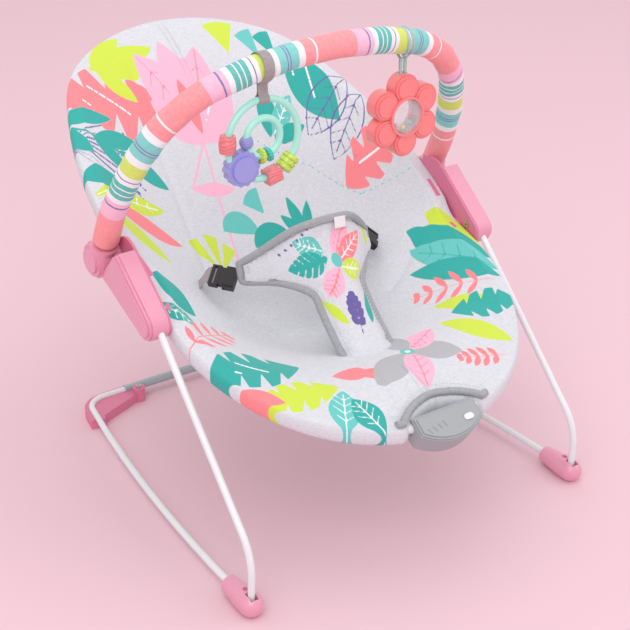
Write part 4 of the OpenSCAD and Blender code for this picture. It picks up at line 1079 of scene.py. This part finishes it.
@dataclass(frozen=True)
class Walk:
    """A path of straights and arcs in a plane.

    Attributes:
        start: where it starts, and its heading in degrees from the second axis.
        moves: (0, length) for a straight, or (radius, turn in degrees) for an arc.
    """

    start: tuple[float, float, float]
    moves: tuple[tuple[float, float], ...]

    def points(self, step: float) -> np.ndarray:
        """Points along the path, about every step mm."""
        x, y, a = self.start
        rows = [(x, y)]
        for radius, size in self.moves:
            length = size if radius == 0 else radius * math.radians(size)
            count = max(1, int(length / step))
            for _ in range(count):
                if radius == 0:
                    x += length / count * math.sin(math.radians(a))
                    y += length / count * math.cos(math.radians(a))
                else:
                    b = a + size / count
                    x += radius * (math.cos(math.radians(a)) - math.cos(math.radians(b)))
                    y += radius * (math.sin(math.radians(b)) - math.sin(math.radians(a)))
                    a = b
                rows.append((x, y))
        return np.array(rows)


@dataclass
class Stand:
    """The bent wires of the stand.

    Attributes:
        wire_r: radius of the wire in mm.
        rail: a rail's path on the floor.
        leg: a leg's path in its own plane.
        foot_x: distance of a leg's foot from the middle.
        pivot_z: height of a leg's foot.
        inward: a leg's lean towards the middle, in degrees.
    """

    wire_r: float = 4.0
    rail: Walk = Walk((-226, 9, 1.5), ((0, 38), (2393.77, 9), (0, 27), (28, 79.5), (0, 70)))
    leg: Walk = Walk((0, 0, -2), ((0, 34), (62, 46.6), (0, 235)))
    foot_x: float = 225.0
    pivot_z: float = 12.0
    inward: float = 0.928

    def build(self, bar: Tree, paint: bpy.types.Material) -> None:
        """Builds the four wires."""
        flat = self.rail.points(2.0)
        rail = np.stack([flat[:, 0], flat[:, 1] - ORIGIN_Y, np.full(len(flat), 13.0)], 1)
        side = self.leg.points(2.0)
        tilt = math.radians(self.inward)
        leg = np.stack([side[:, 1] * math.sin(tilt) - self.foot_x, side[:, 0] - ORIGIN_Y,
                        side[:, 1] * math.cos(tilt) + self.pivot_z], 1)
        for name, path, body, node in (("rail", rail, "base", "rail_wire_"), ("leg", leg, "seat", "leg_")):
            for side_name, sign in (("left", 1), ("right", -1)):
                piece = bar.run(f"{name}_{side_name}", path * [sign, 1, 1], Radius=self.wire_r * MM,
                                Sides=24, Material=paint)
                settle(piece, "white_paint", body, node + side_name)


@dataclass
class Harness:
    """The padded harness panel, rising from the crotch to the belt.

    Attributes:
        crotch: y and z of its root.
        middle: the bend's control point.
        top: y and z of the waist's upper edge.
        waist: half the waist's width.
        narrow: half the crotch part's width.
        thick: its thickness.
        belt: the height along it where the belt leaves.
    """

    crotch: tuple[float, float] = (102.0, 206.312)
    middle: tuple[float, float] = (182.0, 269.312)
    top: tuple[float, float] = (186.0, 329.312)
    waist: float = 88.0
    narrow: float = 33.0
    thick: float = 7.0
    belt: float = 0.74

    def point(self, a: np.ndarray, x: np.ndarray, up: float = 0.0) -> np.ndarray:
        """A point of the panel, a along it from 0 to 1 and x across it, up off its face."""
        f = 1 - 0.40 * ease((np.abs(x) - 30) / (self.waist - 30))
        b = np.where(a < 0.4, a, self.belt + (a - self.belt) * f)
        mid = [(1 - b) ** 2 * c + 2 * b * (1 - b) * m + b * b * t
               for c, m, t in zip(self.crotch, self.middle, self.top)]
        y, z = mid[0] + 0.0063 * x * x - 0.72 * up, mid[1] - 0.0050 * x * x + 0.69 * up
        return np.stack(np.broadcast_arrays(x, y - ORIGIN_Y, z), -1)

    def half_w(self, a: np.ndarray) -> np.ndarray:
        """Half the panel's width at a."""
        return self.narrow + (self.waist - self.narrow) * ease((a - 0.38) / 0.36)

    def border(self, inset: float, up: float) -> np.ndarray:
        """The panel's outline, drawn in by inset mm and lifted by up."""
        span = inset / 150
        rows = np.linspace(-0.13, 1 - span, 60)
        right = self.point(rows, self.half_w(rows) - inset, up)
        across = np.linspace(1, -1, 60)[1:-1] * (self.waist - inset)
        top = self.point(np.full(58, 1 - span), across, up)
        left = self.point(rows[::-1], inset - self.half_w(rows[::-1]), up)
        return np.concatenate([right, top, left])

    def pad(self, finish: bpy.types.Material) -> bpy.types.Object:
        """Builds the padded panel and swells it with the cloth simulation."""
        n = 44
        a, u = np.meshgrid(np.linspace(-0.13, 0.985, n), np.linspace(-1, 1, n), indexing="ij")
        x = self.half_w(a) * 0.98 * u
        front, back = self.point(a, x, -0.8), self.point(a, x, 0.8 - self.thick)
        faces = grid_faces(n, n) + [tuple(i + n * n for i in f[::-1]) for f in grid_faces(n, n)]
        edge = grid_edge(n, n)
        faces += [(p, q, q + n * n, p + n * n) for p, q in zip(edge, np.roll(edge, -1))]
        piece = mesh_object("harness_pad", np.stack([front, back]).reshape(-1, 3), faces, finish)
        outward(piece)
        remeshed(piece, 4.0)
        swell(piece, 5.0)
        return piece

    def build(self, bar: Tree, stitches: Tree, cloth: bpy.types.Material, trim: bpy.types.Material,
              thread: bpy.types.Material, tag: bpy.types.Material) -> None:
        """Builds the panel with its binding, stitches and blank tag."""
        piece = self.pad(cloth)
        at = np.array([v.co for v in piece.data.vertices]) / MM
        Print(at[:, 0], at[:, 2]).dress(piece, HARNESS_PRINT)
        settle(piece, "harness_fabric", "seat", "harness_panel")
        edging = bar.run("harness_binding", self.border(1.2, -self.thick / 2), Radius=4.4 * MM, Sides=16,
                         Material=trim)
        settle(edging, "harness_fabric", "seat")
        seam = stitches.run("harness_stitches", self.border(6.4, 1.5), Pitch=4.2 * MM, Length=2.8 * MM,
                            Thread=0.45 * MM, Material=thread)
        settle(seam, "harness_fabric", "seat")
        a, x = np.meshgrid(np.linspace(0.86, 0.97, 8), np.linspace(8, 26, 12), indexing="ij")
        points = self.point(a, x, 2.6).reshape(-1, 3)
        label = mesh_object("blank_tag", points, grid_faces(8, 12), tag)
        solid = label.modifiers.new("solid", "SOLIDIFY")
        solid.thickness = 0.6 * MM
        applied(label)
        settle(label, "harness_fabric", "seat")


def swell(piece: bpy.types.Object, cap: float) -> None:
    """Swells a closed piece with the cloth simulation, each point by at most cap mm."""
    start = np.array([v.co for v in piece.data.vertices])
    cloth = piece.modifiers.new("cloth", "CLOTH")
    cloth.settings.quality = 5
    cloth.settings.use_pressure = True
    cloth.settings.uniform_pressure_force = 4.0
    cloth.settings.effector_weights.gravity = 0.0
    scene = bpy.context.scene
    for frame in range(1, 21):
        scene.frame_set(frame)
    applied(piece)
    scene.frame_set(1)
    moved = np.array([v.co for v in piece.data.vertices]) - start
    far = np.linalg.norm(moved, axis=1)[:, None]
    moved *= np.minimum(1, cap * MM / np.maximum(far, 1e-9))
    piece.data.vertices.foreach_set("co", (start + moved).ravel())
    subdivide = piece.modifiers.new("subdivide", "SUBSURF")
    subdivide.levels = subdivide.render_levels = 1
    applied(piece)
    piece.data.shade_smooth()


# On the harness the marks are drawn in x and z.
HARNESS_PRINT: tuple[Mark, ...] = (
    Mark(Ink.AQUA, "leaf", (-10, 292), (-42, 306), 24, Ink.WHITE),
    Mark(Ink.TEAL, "frond", (-8, 286), (-52, 276), 26),
    Mark(Ink.PINK, "leaf", (2, 282), (26, 318), 26, Ink.CORAL),
    Mark(Ink.CORAL, "leaf", (4, 280), (48, 298), 22, Ink.WHITE),
    Mark(Ink.PINK, "leaf", (2, 276), (-22, 250), 22, Ink.CORAL),
    Mark(Ink.LIME, "leaf", (4, 276), (36, 262), 20, Ink.WHITE),
    Mark(Ink.AQUA, "blob", (2, 282), (0, 0), 13),
    Mark(Ink.LILAC, "dots", (-56, 292), (-24, 318), 3.0),
    Mark(Ink.LILAC, "fern", (-4, 218), (4, 252), 20),
    Mark(Ink.LIME, "leaf", (-14, 226), (-28, 246), 11),
    Mark(Ink.TEAL, "leaf", (14, 222), (26, 244), 12),
    Mark(Ink.LIME, "leaf", (60, 276), (70, 296), 13),
)


@dataclass
class ToyBar:
    """The toy bar's padded sleeve.

    Attributes:
        start: y and z where the bar leaves the knuckles.
        lean: its lean to the front, in degrees.
        radius: the sleeve's radius.
        loop: its bend.
        periods: how often the stripes repeat.
    """

    start: tuple[float, float] = (281.421, 318.92)
    lean: float = 25.2
    radius: float = 14.0
    loop: Loop = field(default_factory=lambda: Loop(227, 226, 137.5, (-2.2, 22, 73.2)))
    periods: float = 4.25
    sides: int = 40

    def line(self, step: float) -> np.ndarray:
        """The bar's middle line in the row frame."""
        flat = self.loop.path(step)
        lean = math.radians(self.lean)
        return np.stack([flat[:, 0], self.start[0] - flat[:, 1] * math.sin(lean) - ORIGIN_Y,
                         self.start[1] + flat[:, 1] * math.cos(lean)], 1)

    def build(self, finish: bpy.types.Material) -> bpy.types.Object:
        """Builds the sleeve with its creases, its ends closed round the rod."""
        mid = self.line(1.8)
        ahead = unit(np.gradient(mid, axis=0))
        run = np.concatenate([[0], np.cumsum(np.linalg.norm(np.diff(mid, axis=0), axis=1))])
        lean = math.radians(self.lean)
        flat = np.array([0.0, -math.cos(lean), -math.sin(lean)])
        side = np.cross(ahead, flat)
        turn = np.linspace(0, 2 * math.pi, self.sides, endpoint=False)
        bend = np.exp(-((run - run[-1] * 0.80) / 90) ** 2) + 0.45 * np.exp(-((run - run[-1] * 0.2) / 80) ** 2)
        s, t = np.meshgrid(run, turn, indexing="ij")
        crease = (np.sin(s / 4.6 + 1.4 * np.sin(t * 2 + s / 60)) * np.sin(s / 31 + t)) * bend[:, None]
        puff = 0.35 * np.sin(s / 23 + 2 * t) + 0.25 * np.sin(s / 9 - t)
        r = self.radius + 0.3 + 0.9 * crease + puff
        ends = np.minimum(run, run[-1] - run)
        r = r * (1 - 0.30 * np.exp(-(ends / 3.5) ** 2))[:, None]
        rings = (mid[:, None] + (np.cos(t) * r)[..., None] * side[:, None]
                 + (np.sin(t) * r)[..., None] * flat)
        count = len(mid)
        points = np.concatenate([rings.reshape(-1, 3), mid[:1], mid[-1:]])
        faces = grid_faces(count, self.sides, True)
        first, last = count * self.sides, count * self.sides + 1
        for k in range(self.sides):
            n = (k + 1) % self.sides
            faces.append((first, n, k))
            faces.append((last, (count - 1) * self.sides + k, (count - 1) * self.sides + n))
        piece = mesh_object("bar_sleeve", points, faces, finish)
        outward(piece)
        period = np.concatenate([np.repeat(run / run[-1] * self.periods, self.sides), [0, self.periods]])
        store(piece, "period", period)
        settle(piece, "sleeve_fabric", "toy_bar", "toy_bar_sleeve")
        return piece


def band(name: str, path: np.ndarray, across: np.ndarray, width: float, thick: float,
         finish: bpy.types.Material, closed: bool) -> bpy.types.Object:
    """A flat band of webbing along a path.

    Args:
        name: its name.
        path: its middle line, in mm.
        across: the direction of its width.
        width: its width in mm.
        thick: its thickness in mm.
        finish: its material.
        closed: whether the band's ends meet.

    Returns:
        The new piece.
    """
    if closed:
        ahead = np.roll(path, -1, 0) - np.roll(path, 1, 0)
    else:
        ahead = np.gradient(path, axis=0)
    normal = unit(np.cross(ahead, across))
    corner = [(-.5, -.5), (-.25, -.5), (.25, -.5), (.5, -.5), (.5, .5), (.25, .5), (-.25, .5), (-.5, .5)]
    rows = np.stack([path + across * width * a + normal * thick * b for a, b in corner], 1)
    count, wide = len(path), len(corner)
    faces = grid_faces(count, wide, True)
    if closed:
        faces += [((count - 1) * wide + k, (count - 1) * wide + (k + 1) % wide, (k + 1) % wide, k)
                  for k in range(wide)]
    else:
        faces += [tuple(range(wide))[::-1], tuple((count - 1) * wide + k for k in range(wide))]
    piece = mesh_object(name, rows.reshape(-1, 3), faces, finish)
    outward(piece)
    bevel = piece.modifiers.new("bevel", "BEVEL")
    bevel.width = thick * 0.3 * MM
    bevel.segments = 2
    return applied(piece)


def sling(hang: np.ndarray, top_r: float, low: float, low_r: float, waist: float) -> np.ndarray:
    """A closed loop, in y and z, round a bar and round what hangs from it.

    Args:
        hang: the bar's middle, x, y and z.
        top_r: the loop's radius round the bar.
        low: how far below the bar the lower end's middle is.
        low_r: the loop's radius there.
        waist: half the gap where both sides meet between them.

    Returns:
        The loop's points in mm.
    """
    top = [(top_r * math.cos(t), top_r * math.sin(t)) for t in np.linspace(math.pi / 2, -math.pi / 3.2, 24)]
    end = [(low_r * math.cos(t), -low + low_r * math.sin(t))
           for t in np.linspace(math.pi / 3, -math.pi / 2, 14)]
    a, b = np.array(top[-1]), np.array(end[0])
    middle = [(waist + 0.2, a[1] + (b[1] - a[1]) * k) for k in (0.30, 0.5, 0.72)]
    right = np.array(top + middle + end)
    loop = np.concatenate([right, (right * [-1, 1])[-2:0:-1]])
    return np.stack([np.full(len(loop), hang[0]), hang[1] + loop[:, 0], hang[2] + loop[:, 1]], 1)


@dataclass
class Toys:
    """The straps that carry the two hanging toys."""

    ring: tuple[float, float, float] = (-81.0, 188.687, 515.991)
    ring_top: float = 481.191
    flower: tuple[float, float, float] = (104.0, 190.991, 511.096)
    ribbon_drop: float = 36.0

    def build(self, strap: bpy.types.Material, ribbon: bpy.types.Material,
              sleeve: bpy.types.Object) -> None:
        """Builds the strap and the two ribbons."""
        across = np.array([1.0, 0.0, 0.0])
        hang = np.array(self.ring) - [0, ORIGIN_Y, 0]
        loop = sling(hang, 15.6, self.ring[2] - self.ring_top, 4.9, 0.7)
        piece = band("ring_strap_woven", loop, across, 12, 1.2, strap, True)
        settle(piece, "webbing_grey", "ring_toy", "ring_strap")
        hang = np.array(self.flower) - [0, ORIGIN_Y, 0]
        for side, name in ((-3.2, "left"), (3.2, "right")):
            loop = sling(hang + [side, 0, 0], 15.6, self.ribbon_drop, 1.2, 0.6)
            piece = band("ribbon_" + name, loop, across, 3.4, 0.8, ribbon, True)
            settle(piece, "ribbon_fabric", "flower_toy", *(["flower_ribbons"] if side < 0 else []))


@dataclass
class WaistStraps:
    """The webbing from the buckles into the seat."""

    end: tuple[float, float, float] = (-88.0, 230.09, 256.774)
    yaw: float = 50.5
    dip: float = -4.0
    roll: float = 38.0
    plug_end: float = 35.6
    width: float = 20.0
    thick: float = 1.6

    def build(self, shape: SeatShape, finish: bpy.types.Material) -> None:
        """Builds both straps; each bends between its plug and the seat."""
        frame = (Matrix.Rotation(math.radians(180 - self.yaw), 3, "Z")
                 @ Matrix.Rotation(math.radians(self.dip), 3, "Y")
                 @ Matrix.Rotation(math.radians(-self.roll), 3, "X"))
        ahead, across = np.array(frame @ Vector((1, 0, 0))), np.array(frame @ Vector((0, 1, 0)))
        root = np.array(self.end) - [0, ORIGIN_Y, 0] + ahead * (self.plug_end - 8)
        path = []
        for k in np.linspace(0, 1, 26):
            p = root + ahead * 34 * k
            low = float(shape.z(p[0], p[1] + ORIGIN_Y)) + shape.thick
            p[2] += (low - 17 - p[2]) * float(ease(np.array((k - 0.3) / 0.7)))
            path.append(p)
        path = np.array(path)
        for name, sign in (("left", 1), ("right", -1)):
            turn = np.array([sign, 1, 1])
            piece = band("waist_webbing_" + name, path * turn, across * turn, self.width, self.thick,
                         finish, False)
            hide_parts("waist_strap_" + name)
            start, stop = path[10] * turn * MM, path[25] * turn * MM
            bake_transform(piece)
            self.width * MM


@dataclass
class UnitTrim:
    """The cloth binding round the vibration unit's cut-out."""

    binding_r: float = 4.2

    def build(self, shape: SeatShape, bar: Tree, stitches: Tree, trim: bpy.types.Material,
              thread: bpy.types.Material) -> None:
        """Builds the binding with its stitches."""
        x = np.linspace(-60, 60, 60)
        edge = self.front(shape, x)
        piece = bar.run("unit_binding", edge, Radius=self.binding_r * MM, Sides=16, Material=trim)
        settle(piece, "seat_fabric", "seat")
        seam = stitches.run("unit_stitches", self.front(shape, x * 1.06, 8.5, 5.4), Pitch=4.2 * MM,
                            Length=2.8 * MM, Thread=0.45 * MM, Material=thread)
        settle(seam, "seat_fabric", "seat")

    def front(self, shape: SeatShape, x: np.ndarray, back: float = 1.0, up: float = 2.0) -> np.ndarray:
        """The pad's front edge at x."""
        y = np.full(len(x), shape.start + 1.0)
        for _ in range(30):
            wide = shape.edge_w(y)
            y = np.where(wide < np.abs(x), y + 1.0, y)
        y = y + shape.notch(x) + back
        return np.stack([x, y - ORIGIN_Y, shape.z(x, y) + up], 1)


# ---------------------------------------------------------------- the moulded and metal parts
WHITE_PAINT = Finish((0.80, 0.83, 0.85), 0.30, coat=0.3)
GREY_PAINT = Finish((0.38, 0.45, 0.48), 0.35, coat=0.2)
FOOT_PINK = Finish((0.72, 0.21, 0.34), 0.45)
HUB_PINK = Finish((0.79, 0.33, 0.46), 0.28, coat=0.5)
SCREW_STEEL = Finish((0.60, 0.60, 0.62), 0.30, metallic=1.0)
BUCKLE_BLACK = Finish((0.012, 0.012, 0.014), 0.45)
UNIT_GREY = Finish((0.36, 0.39, 0.40), 0.42)
BUTTON_WHITE = Finish((0.82, 0.82, 0.83), 0.35)
BATTERY_METAL = Finish((0.35, 0.35, 0.36), 0.35, metallic=0.9)
BOARD_GREEN = Finish((0.03, 0.20, 0.07), 0.5)
RING_MINT = Finish((0.40, 0.86, 0.72), 0.22, coat=0.5)
LAVENDER = Finish((0.32, 0.33, 0.74), 0.28, coat=0.5)
CORAL_GLOSS = Finish((0.92, 0.235, 0.235), 0.22, coat=0.6)
LIME_BEAD = Relief((0.62, 0.82, 0.10))
TEAL_BEAD = Relief((0.05, 0.62, 0.52))
CORAL_BEAD = Relief((0.93, 0.24, 0.26))
SWIRL_BALL = Relief((0.33, 0.34, 0.76), 520.0)
BEADS = Balls(0.085, 0.123, ((0.02, 0.55, 0.62), (0.90, 0.30, 0.50), (0.94, 0.72, 0.10),
                             (0.05, 0.62, 0.52), (0.80, 0.05, 0.30)))
SEAT_CLOTH = Printed((0.74, 0.765, 0.80), (0.57, 0.585, 0.635))
UNDER_CLOTH = Weave((0.50, 0.51, 0.53), (0.33, 0.34, 0.36))
TRIM_CLOTH = Weave((0.42, 0.44, 0.46), (0.28, 0.30, 0.32))
WEBBING = Weave((0.42, 0.38, 0.39), (0.27, 0.24, 0.25))
RIBBON = Weave((0.45, 0.62, 0.58), (0.30, 0.48, 0.46))
THREAD = Finish((0.62, 0.63, 0.66), 0.8)
TAG = Weave((0.88, 0.88, 0.88), (0.78, 0.78, 0.78))
PINK_BAND, THIN_WHITE, VIOLET = (0.90, 0.45, 0.62), (0.85, 0.85, 0.88), (0.15, 0.12, 0.40)
TEAL_BAND, LIME_BAND, AQUA_BAND, CORAL_BAND = ((0.02, 0.45, 0.40), (0.60, 0.74, 0.05),
                                               (0.13, 0.60, 0.56), (0.93, 0.25, 0.27))
SLEEVE = Stripes((
    (0.285, CORAL_BAND), (0.085, PINK_BAND), (0.010, VIOLET), (0.030, PINK_BAND), (0.035, THIN_WHITE),
    (0.030, TEAL_BAND), (0.008, THIN_WHITE), (0.026, TEAL_BAND), (0.008, THIN_WHITE), (0.030, TEAL_BAND),
    (0.028, THIN_WHITE), (0.009, VIOLET), (0.028, THIN_WHITE), (0.080, LIME_BAND), (0.050, THIN_WHITE),
    (0.044, AQUA_BAND), (0.008, VIOLET), (0.014, AQUA_BAND), (0.008, VIOLET), (0.052, AQUA_BAND),
    (0.045, THIN_WHITE), (0.072, CORAL_BAND), (0.015, THIN_WHITE)))


def both(*stems: str) -> tuple[str, ...]:
    """The names of parts that come in a left and a right one."""
    return tuple(f"{stem}_{side}" for stem in stems for side in ("left", "right"))


CAD_FINISHES: dict[str, tuple[object, tuple[str, ...]]] = {
    "paint_white": (WHITE_PAINT, ("back_tube", "front_tube")),
    "paint_grey": (GREY_PAINT, ("rear_cross_tube",)),
    "foot_pink": (FOOT_PINK, both("rear_foot", "hub_inner")),
    "hub_pink": (HUB_PINK, both("front_foot", "hub_outer", "knuckle")),
    "steel": (SCREW_STEEL, ("rear_foot_screws", "hub_screws", "unit_door_screw", "toy_bar_rod",
                            "unit_motor", "unit_motor_weight")),
    "buckle": (BUCKLE_BLACK, both("buckle_socket", "buckle_plug")),
    "unit_grey": (UNIT_GREY, ("unit_housing", "unit_back_cover", "unit_battery_door")),
    "button": (BUTTON_WHITE, ("unit_button",)),
    "battery": (BATTERY_METAL, ("unit_battery",)),
    "board": (BOARD_GREEN, ("unit_circuit_board",)),
    "mint": (RING_MINT, ("outer_ring", "inner_ring")),
    "lavender": (LAVENDER, ("scalloped_disc",)),
    "bead_coral": (CORAL_BEAD, ("barrel_bead", "cube_bead")),
    "bead_lime": (LIME_BEAD, ("ridged_bead", "small_disc_lime")),
    "bead_teal": (TEAL_BEAD, ("small_disc_teal",)),
    "ball_lavender": (SWIRL_BALL, ("swirl_ball",)),
    "flower": (CORAL_GLOSS, ("flower_front", "flower_back")),
    "window": (Clear(), ("flower_window",)),
    "rattle": (BEADS, ("rattle_beads",)),
}
EDGES: dict[str, float] = {
    **dict.fromkeys(both("hub_outer", "rear_foot"), 1.2), **dict.fromkeys(both("knuckle"), 1.6),
    **dict.fromkeys(both("buckle_socket", "buckle_plug"), 0.8), "scalloped_disc": 1.0,
    "flower_front": 2.0, "flower_back": 2.0, "cube_bead": 1.4, "unit_housing": 0.6, "unit_button": 0.5,
}


def finish_nodes(frame: dict) -> None:
    """Gives each CAD node its material, and rounds the moulded ones' edges."""
    for name, (finish, nodes) in CAD_FINISHES.items():
        material = finish.material(name)
        for node in nodes:
            piece = frame["nodes"][node]
            for slot in piece.material_slots:
                slot.link = "OBJECT"
                slot.material = material
            if not piece.material_slots:
                piece.data.materials.append(material)
            if node in EDGES:
                bevel = piece.modifiers.new("edges", "BEVEL")
                bevel.width = EDGES[node] * MM
                bevel.segments = 3
                bevel.limit_method = "ANGLE"
                bevel.angle_limit = math.radians(40)
                bevel.use_clamp_overlap = True
    LOG.info("%d CAD nodes finished", sum(len(n) for _, n in CAD_FINISHES.values()))


@dataclass
class Studio:
    """The floor, lights and camera.

    Attributes:
        eye: the camera's place in m.
        aim: the direction it looks in.
        lens: its focal length in mm, for a 36 mm sensor.
        floor: the floor's colour.
    """

    eye: tuple[float, float, float] = (-0.8701, -1.3061, 0.9845)
    aim: tuple[float, float, float] = (0.5041, 0.7330, -0.4566)
    lens: float = 84.75
    floor: Colour = (0.80, 0.56, 0.62)

    def build(self) -> None:
        """Builds the floor, the lights and the camera."""
        mesh = bpy.data.meshes.new("floor")
        mesh.from_pydata([(-9, -9, 0), (9, -9, 0), (9, 9, 0), (-9, 9, 0)], [], [(0, 1, 2, 3)])
        ground = linked("floor", mesh)
        graph = Graph("floor")
        graph.set(Base_Color=self.floor, Roughness=0.9)
        mesh.materials.append(graph.material)
        world = bpy.data.worlds.new("studio")
        world.use_nodes = True
        back = world.node_tree.nodes["Background"]
        back.inputs[0].default_value = (0.90, 0.86, 0.88, 1.0)
        back.inputs[1].default_value = 0.92
        bpy.context.scene.world = world
        for name, place, size, power, tint in (
                ("key", (-1.6, -1.9, 2.4), 2.4, 34, (1.0, 0.98, 0.97)),
                ("fill", (2.2, -1.4, 1.9), 2.4, 12, (1.0, 0.96, 0.97)),
                ("top", (0.2, 0.5, 2.8), 2.8, 16, (1.0, 1.0, 1.0))):
            light = bpy.data.lights.new(name, "AREA")
            light.size, light.energy, light.color = size, power, tint
            lamp = linked(name, light)
            lamp.location = place
            lamp.rotation_euler = (Vector((0, 0, 0.2)) - Vector(place)).to_track_quat("-Z", "Y").to_euler()
        data = bpy.data.cameras.new("camera")
        data.lens, data.sensor_width = self.lens, 36.0
        data.clip_start, data.clip_end = 0.05, 50.0
        camera = linked("camera", data)
        camera.location = self.eye
        camera.rotation_euler = Vector(self.aim).to_track_quat("-Z", "Y").to_euler()
        bpy.context.scene.camera = camera
        bpy.context.scene.view_settings.view_transform = "Standard"


def main() -> None:
    """Builds the whole scene."""
    logging.basicConfig(level=logging.INFO, format="%(name)s %(message)s")
    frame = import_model()
    Studio().build()
    finish_nodes(frame)
    bar, stitches = bar_tree(), stitch_tree()
    shape = SeatShape()
    trim, thread = TRIM_CLOTH.material("trim"), THREAD.material("thread")
    webbing = WEBBING.material("webbing")
    Stand().build(bar, WHITE_PAINT.material("wire_white"))
    SeatFabric(shape).build(SEAT_CLOTH.material("seat_cloth"), UNDER_CLOTH.material("under_cloth"))
    Harness().build(bar, stitches, SEAT_CLOTH.material("harness_cloth"), trim, thread, TAG.material("tag"))
    WaistStraps().build(shape, webbing)
    UnitTrim().build(shape, bar, stitches, trim, thread)
    sleeve = ToyBar().build(SLEEVE.material("sleeve"))
    Toys().build(webbing, RIBBON.material("ribbon"), sleeve)


if __name__ == "__main__":
    main()
